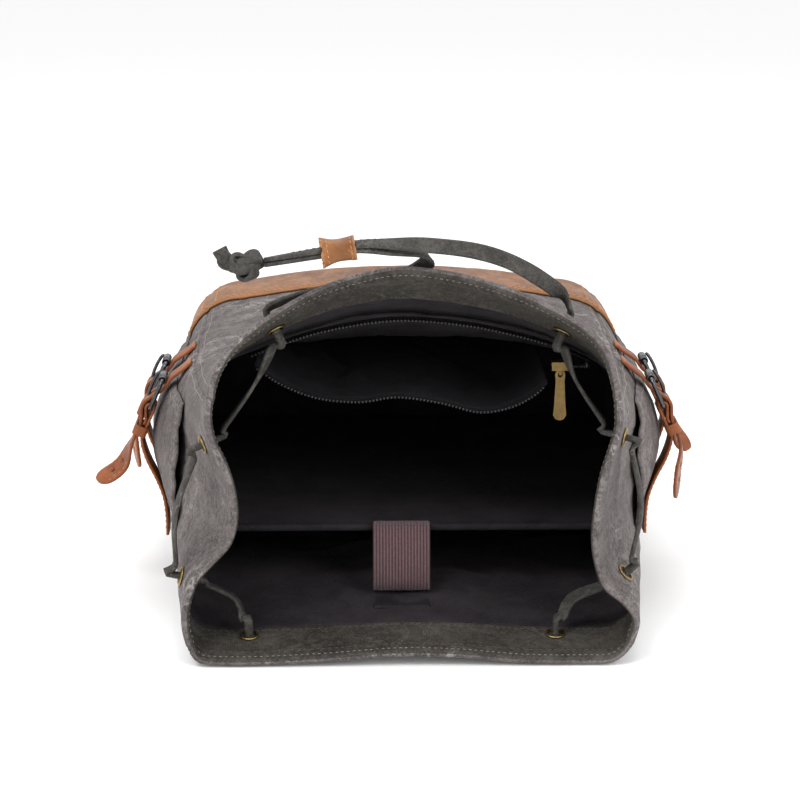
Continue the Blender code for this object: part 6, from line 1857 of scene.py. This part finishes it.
def build_hang_loop():
    height = float(wall(0.44, HANDLE_START)[2]) - 2 * CLEAR - LEATHER - HANDLE_RADIUS - 0.2 * MM
    loop = [(-20, 0), (-20, 16), (-13, 31), (0, 36), (13, 31), (20, 16), (20, 0)]
    line = smooth_line([(x * MM + CENTRE_SHIFT, HANDLE_START + s * MM - BAG_LENGTH / 2, height) for x,
                        s in loop], 8)
    across, above = frames_along(line, (0, 0, 1))
    turns = np.arange(18) * math.pi / 9
    shape = np.stack([np.cos(turns), np.sin(turns)], axis=1) * HANDLE_RADIUS
    shape[:, 0] += 0.5 * MM * np.cos(turns) * (np.abs(np.cos(turns)) > 0.9)
    rows = np.array([p + np.outer(shape[:, 0], a) + np.outer(shape[:, 1], u) for p, a,
                     u in zip(line, across, above)])
    handle = add_piece("hang_loop_leather", rows, tube_faces(*rows.shape[:2]), strap_leather)
    seam = line - above * HANDLE_RADIUS * 0.97
    thread = join_parts("hang_loop_stitches", stitches(seam, -above, 2.8 * MM, 1.4 * MM, 0.6 * MM),
                        tan_thread)
    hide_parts("carry_handle")
    for piece in (handle, thread):
        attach(piece, "root")


def build_shoulder_strap(name, side):
    """A padded strap that lies flat under the bag, with bound edges and a leather strap at its end."""
    middle = (PAD_BOTTOM + PAD_TOP) / 2
    path = [(52, 108), (58, 150), (76, 205), (92, 255), (100, 292)]
    line = smooth_line([(side * x * MM + CENTRE_SHIFT, s * MM - BAG_LENGTH / 2, middle) for x, s in path], 16)
    line = spaced(line, 90)
    share = np.linspace(0, 1, len(line))
    wide = (46 + 14 * np.sin(np.pi * np.minimum(share * 1.1, 1))) * MM
    rounding = np.minimum(1, np.minimum(share, 1 - share) / 0.03)
    across, above = frames_along(line, (0, 0, 1))
    k = np.linspace(-1, 1, 41)
    swell = (np.clip(1 - np.abs(k) ** 6, 0, 1) ** 0.5 * (1 - 0.28 * near(np.abs(k), 0.0, 0.08)))[None, :]
    puff = 1 - 0.22 * near(np.mod(np.linspace(0, line_length(line), len(line)), 46 * MM), 23 * MM,
                           4 * MM)[:, None]
    thick = (0.8 * MM + 2.3 * MM * swell * puff) * (0.45 + 0.55 * rounding)[:, None]
    flat = line[:, None, :] + across[:, None, :] * (k[None, :] * wide[:, None] / 2)[..., None]
    thick = thick + 0.22 * MM * noise_at(flat, 24 * MM, 2.0)
    top, low = flat + above[:, None, :] * thick[..., None], flat - above[:, None, :] * thick[..., None]
    rows = np.concatenate([top, low[:, ::-1]], axis=1)
    u = np.concatenate([k, 2.2 - k[::-1]])[None, :] * wide[:, None] / 2
    uv = np.stack([u, np.broadcast_to((share * line_length(line))[:, None], u.shape)], axis=-1)
    pad = add_piece(f"shoulder_pad_{name}", rows, tube_faces(*rows.shape[:2]), canvas, uv=uv)
    bound, parts = [], []
    for edge in (-1, 1):
        rim = line + across * edge * (wide / 2 - 0.8 * MM)[:, None]
        bound.append(band(rim[1:-1], (0, 0, 1), 4.4 * MM, 3.6 * MM, 0.45))
        seam = rim[2:-2] - across[2:-2] * edge * 4.0 * MM + above[2:-2] * 2.35 * MM
        parts += stitches(seam, above[2:-2], 3 * MM, 1.7 * MM, 0.6 * MM)
    binding = join_parts(f"shoulder_binding_{name}", bound, cord_cloth)
    low_path = [(100, 284), (104, 305), (112, 325), (120, 341)]
    tail = smooth_line([(side * x * MM + CENTRE_SHIFT, s * MM - BAG_LENGTH / 2, middle) for x,
                        s in low_path], 10)
    leather_end = join_parts(f"shoulder_lower_{name}", [band(tail, (0, 0, 1), 25 * MM, 2.6 * MM, 0.4)],
                             strap_leather)
    tail_across, tail_above = frames_along(tail, (0, 0, 1))
    for edge in (-1, 1):
        seam = tail + tail_across * edge * 9.5 * MM + tail_above * 1.3 * MM
        parts += stitches(seam, tail_above, 3 * MM, 1.5 * MM, 0.6 * MM)
    thread = join_parts(f"shoulder_stitches_{name}", parts, tan_thread)
    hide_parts(f"shoulder_strap_{name}")
    for piece, slot in ((pad, "waxed_canvas"), (binding, "waxed_canvas"), (thread, "tan_leather"),
                        (leather_end, "tan_leather")):
        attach(piece, "root")


def build_lid():
    """The lid, turned back and lying folded under the bag, with a bound edge."""
    lowest = min(float(wall(0.1 + 0.8 * k / 40, LID_HINGE)[2]) for k in range(41))
    hinge = lowest - CLEAR - LID_THICK / 2 - 0.2 * MM
    lie = 0.15 * MM + LID_THICK / 2
    path = [(0, LID_HINGE, hinge), (0, LID_HINGE + 8 * MM, hinge - 0.6 * MM), (0, LID_HINGE + 20 * MM, lie),
            (0, LID_END, lie)]
    line = spaced(np.array(path), 110)
    line[:, 0] += CENTRE_SHIFT
    line[:, 1] -= BAG_LENGTH / 2
    left = np.linspace(line_length(line), 0, len(line))
    corner = 34 * MM
    inset = corner - np.sqrt(np.maximum(corner ** 2 - np.maximum(corner - left, 0) ** 2, 0))
    wide = LID_WIDTH - 2 * inset
    k = np.linspace(-1, 1, 61)
    flat = line[:, None, :] + np.array([1.0, 0, 0]) * (k[None, :] * (wide / 2)[:, None])[..., None]
    calm = near(np.broadcast_to(left[:, None], flat.shape[:2]), line_length(line), 26 * MM)
    lift = np.clip(0.5 + 0.5 * noise_at(flat, 36 * MM, 11.0), 0, 1) * 0.5 * MM * (1 - calm)
    top, low = flat.copy(), flat.copy()
    top[..., 2] += 0.55 * MM + lift
    low[..., 2] -= 0.6 * MM - lift * 0.8
    rows = np.concatenate([top, low[:, ::-1]], axis=1)
    u = np.concatenate([k, k[::-1] + 2.2])[None, :] * (wide / 2)[:, None]
    uv = np.stack([u, np.broadcast_to(left[:, None], u.shape)], axis=-1)
    cloth = add_piece("lid_cloth", rows, tube_faces(*rows.shape[:2]), canvas, uv=uv)
    rim = [*(line[4:] + np.outer(-(wide[4:] / 2 - 1.6 * MM), [1, 0, 0])),
           *(line[4:][::-1] + np.outer(wide[4:][::-1] / 2 - 1.6 * MM, [1, 0, 0]))]
    rim = spaced(np.array(rim), 260)
    binding = join_parts("lid_binding", [band(rim, (0, 0, 1), 7 * MM, 2.0 * MM, 0.42)], leather)
    across, above = frames_along(rim, (0, 0, 1))
    seam = rim - across * 2.0 * MM + above * 1.0 * MM
    thread = join_parts("lid_stitches", stitches(seam, above, 3 * MM, 1.6 * MM, 0.55 * MM), tan_thread)
    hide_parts("lid_panel")
    line_length(line)
    for piece in (cloth, binding, thread):
        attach(piece, "lid")


build_yoke()
build_hang_loop()
for name, side in (("left", -1), ("right", 1)):
    build_shoulder_strap(name, side)
build_lid()

# ---- CAD nodes that keep their shape ------------------------------------------------------------
KEPT = {"zip_slider": old_brass, "zip_pull": old_brass, "base_board": board}
for node_name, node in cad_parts.items():
    finish = next((f for start, f in KEPT.items() if node_name.startswith(start)), None)
    if finish is not None:
        node.data.materials.clear()
        node.data.materials.append(finish)
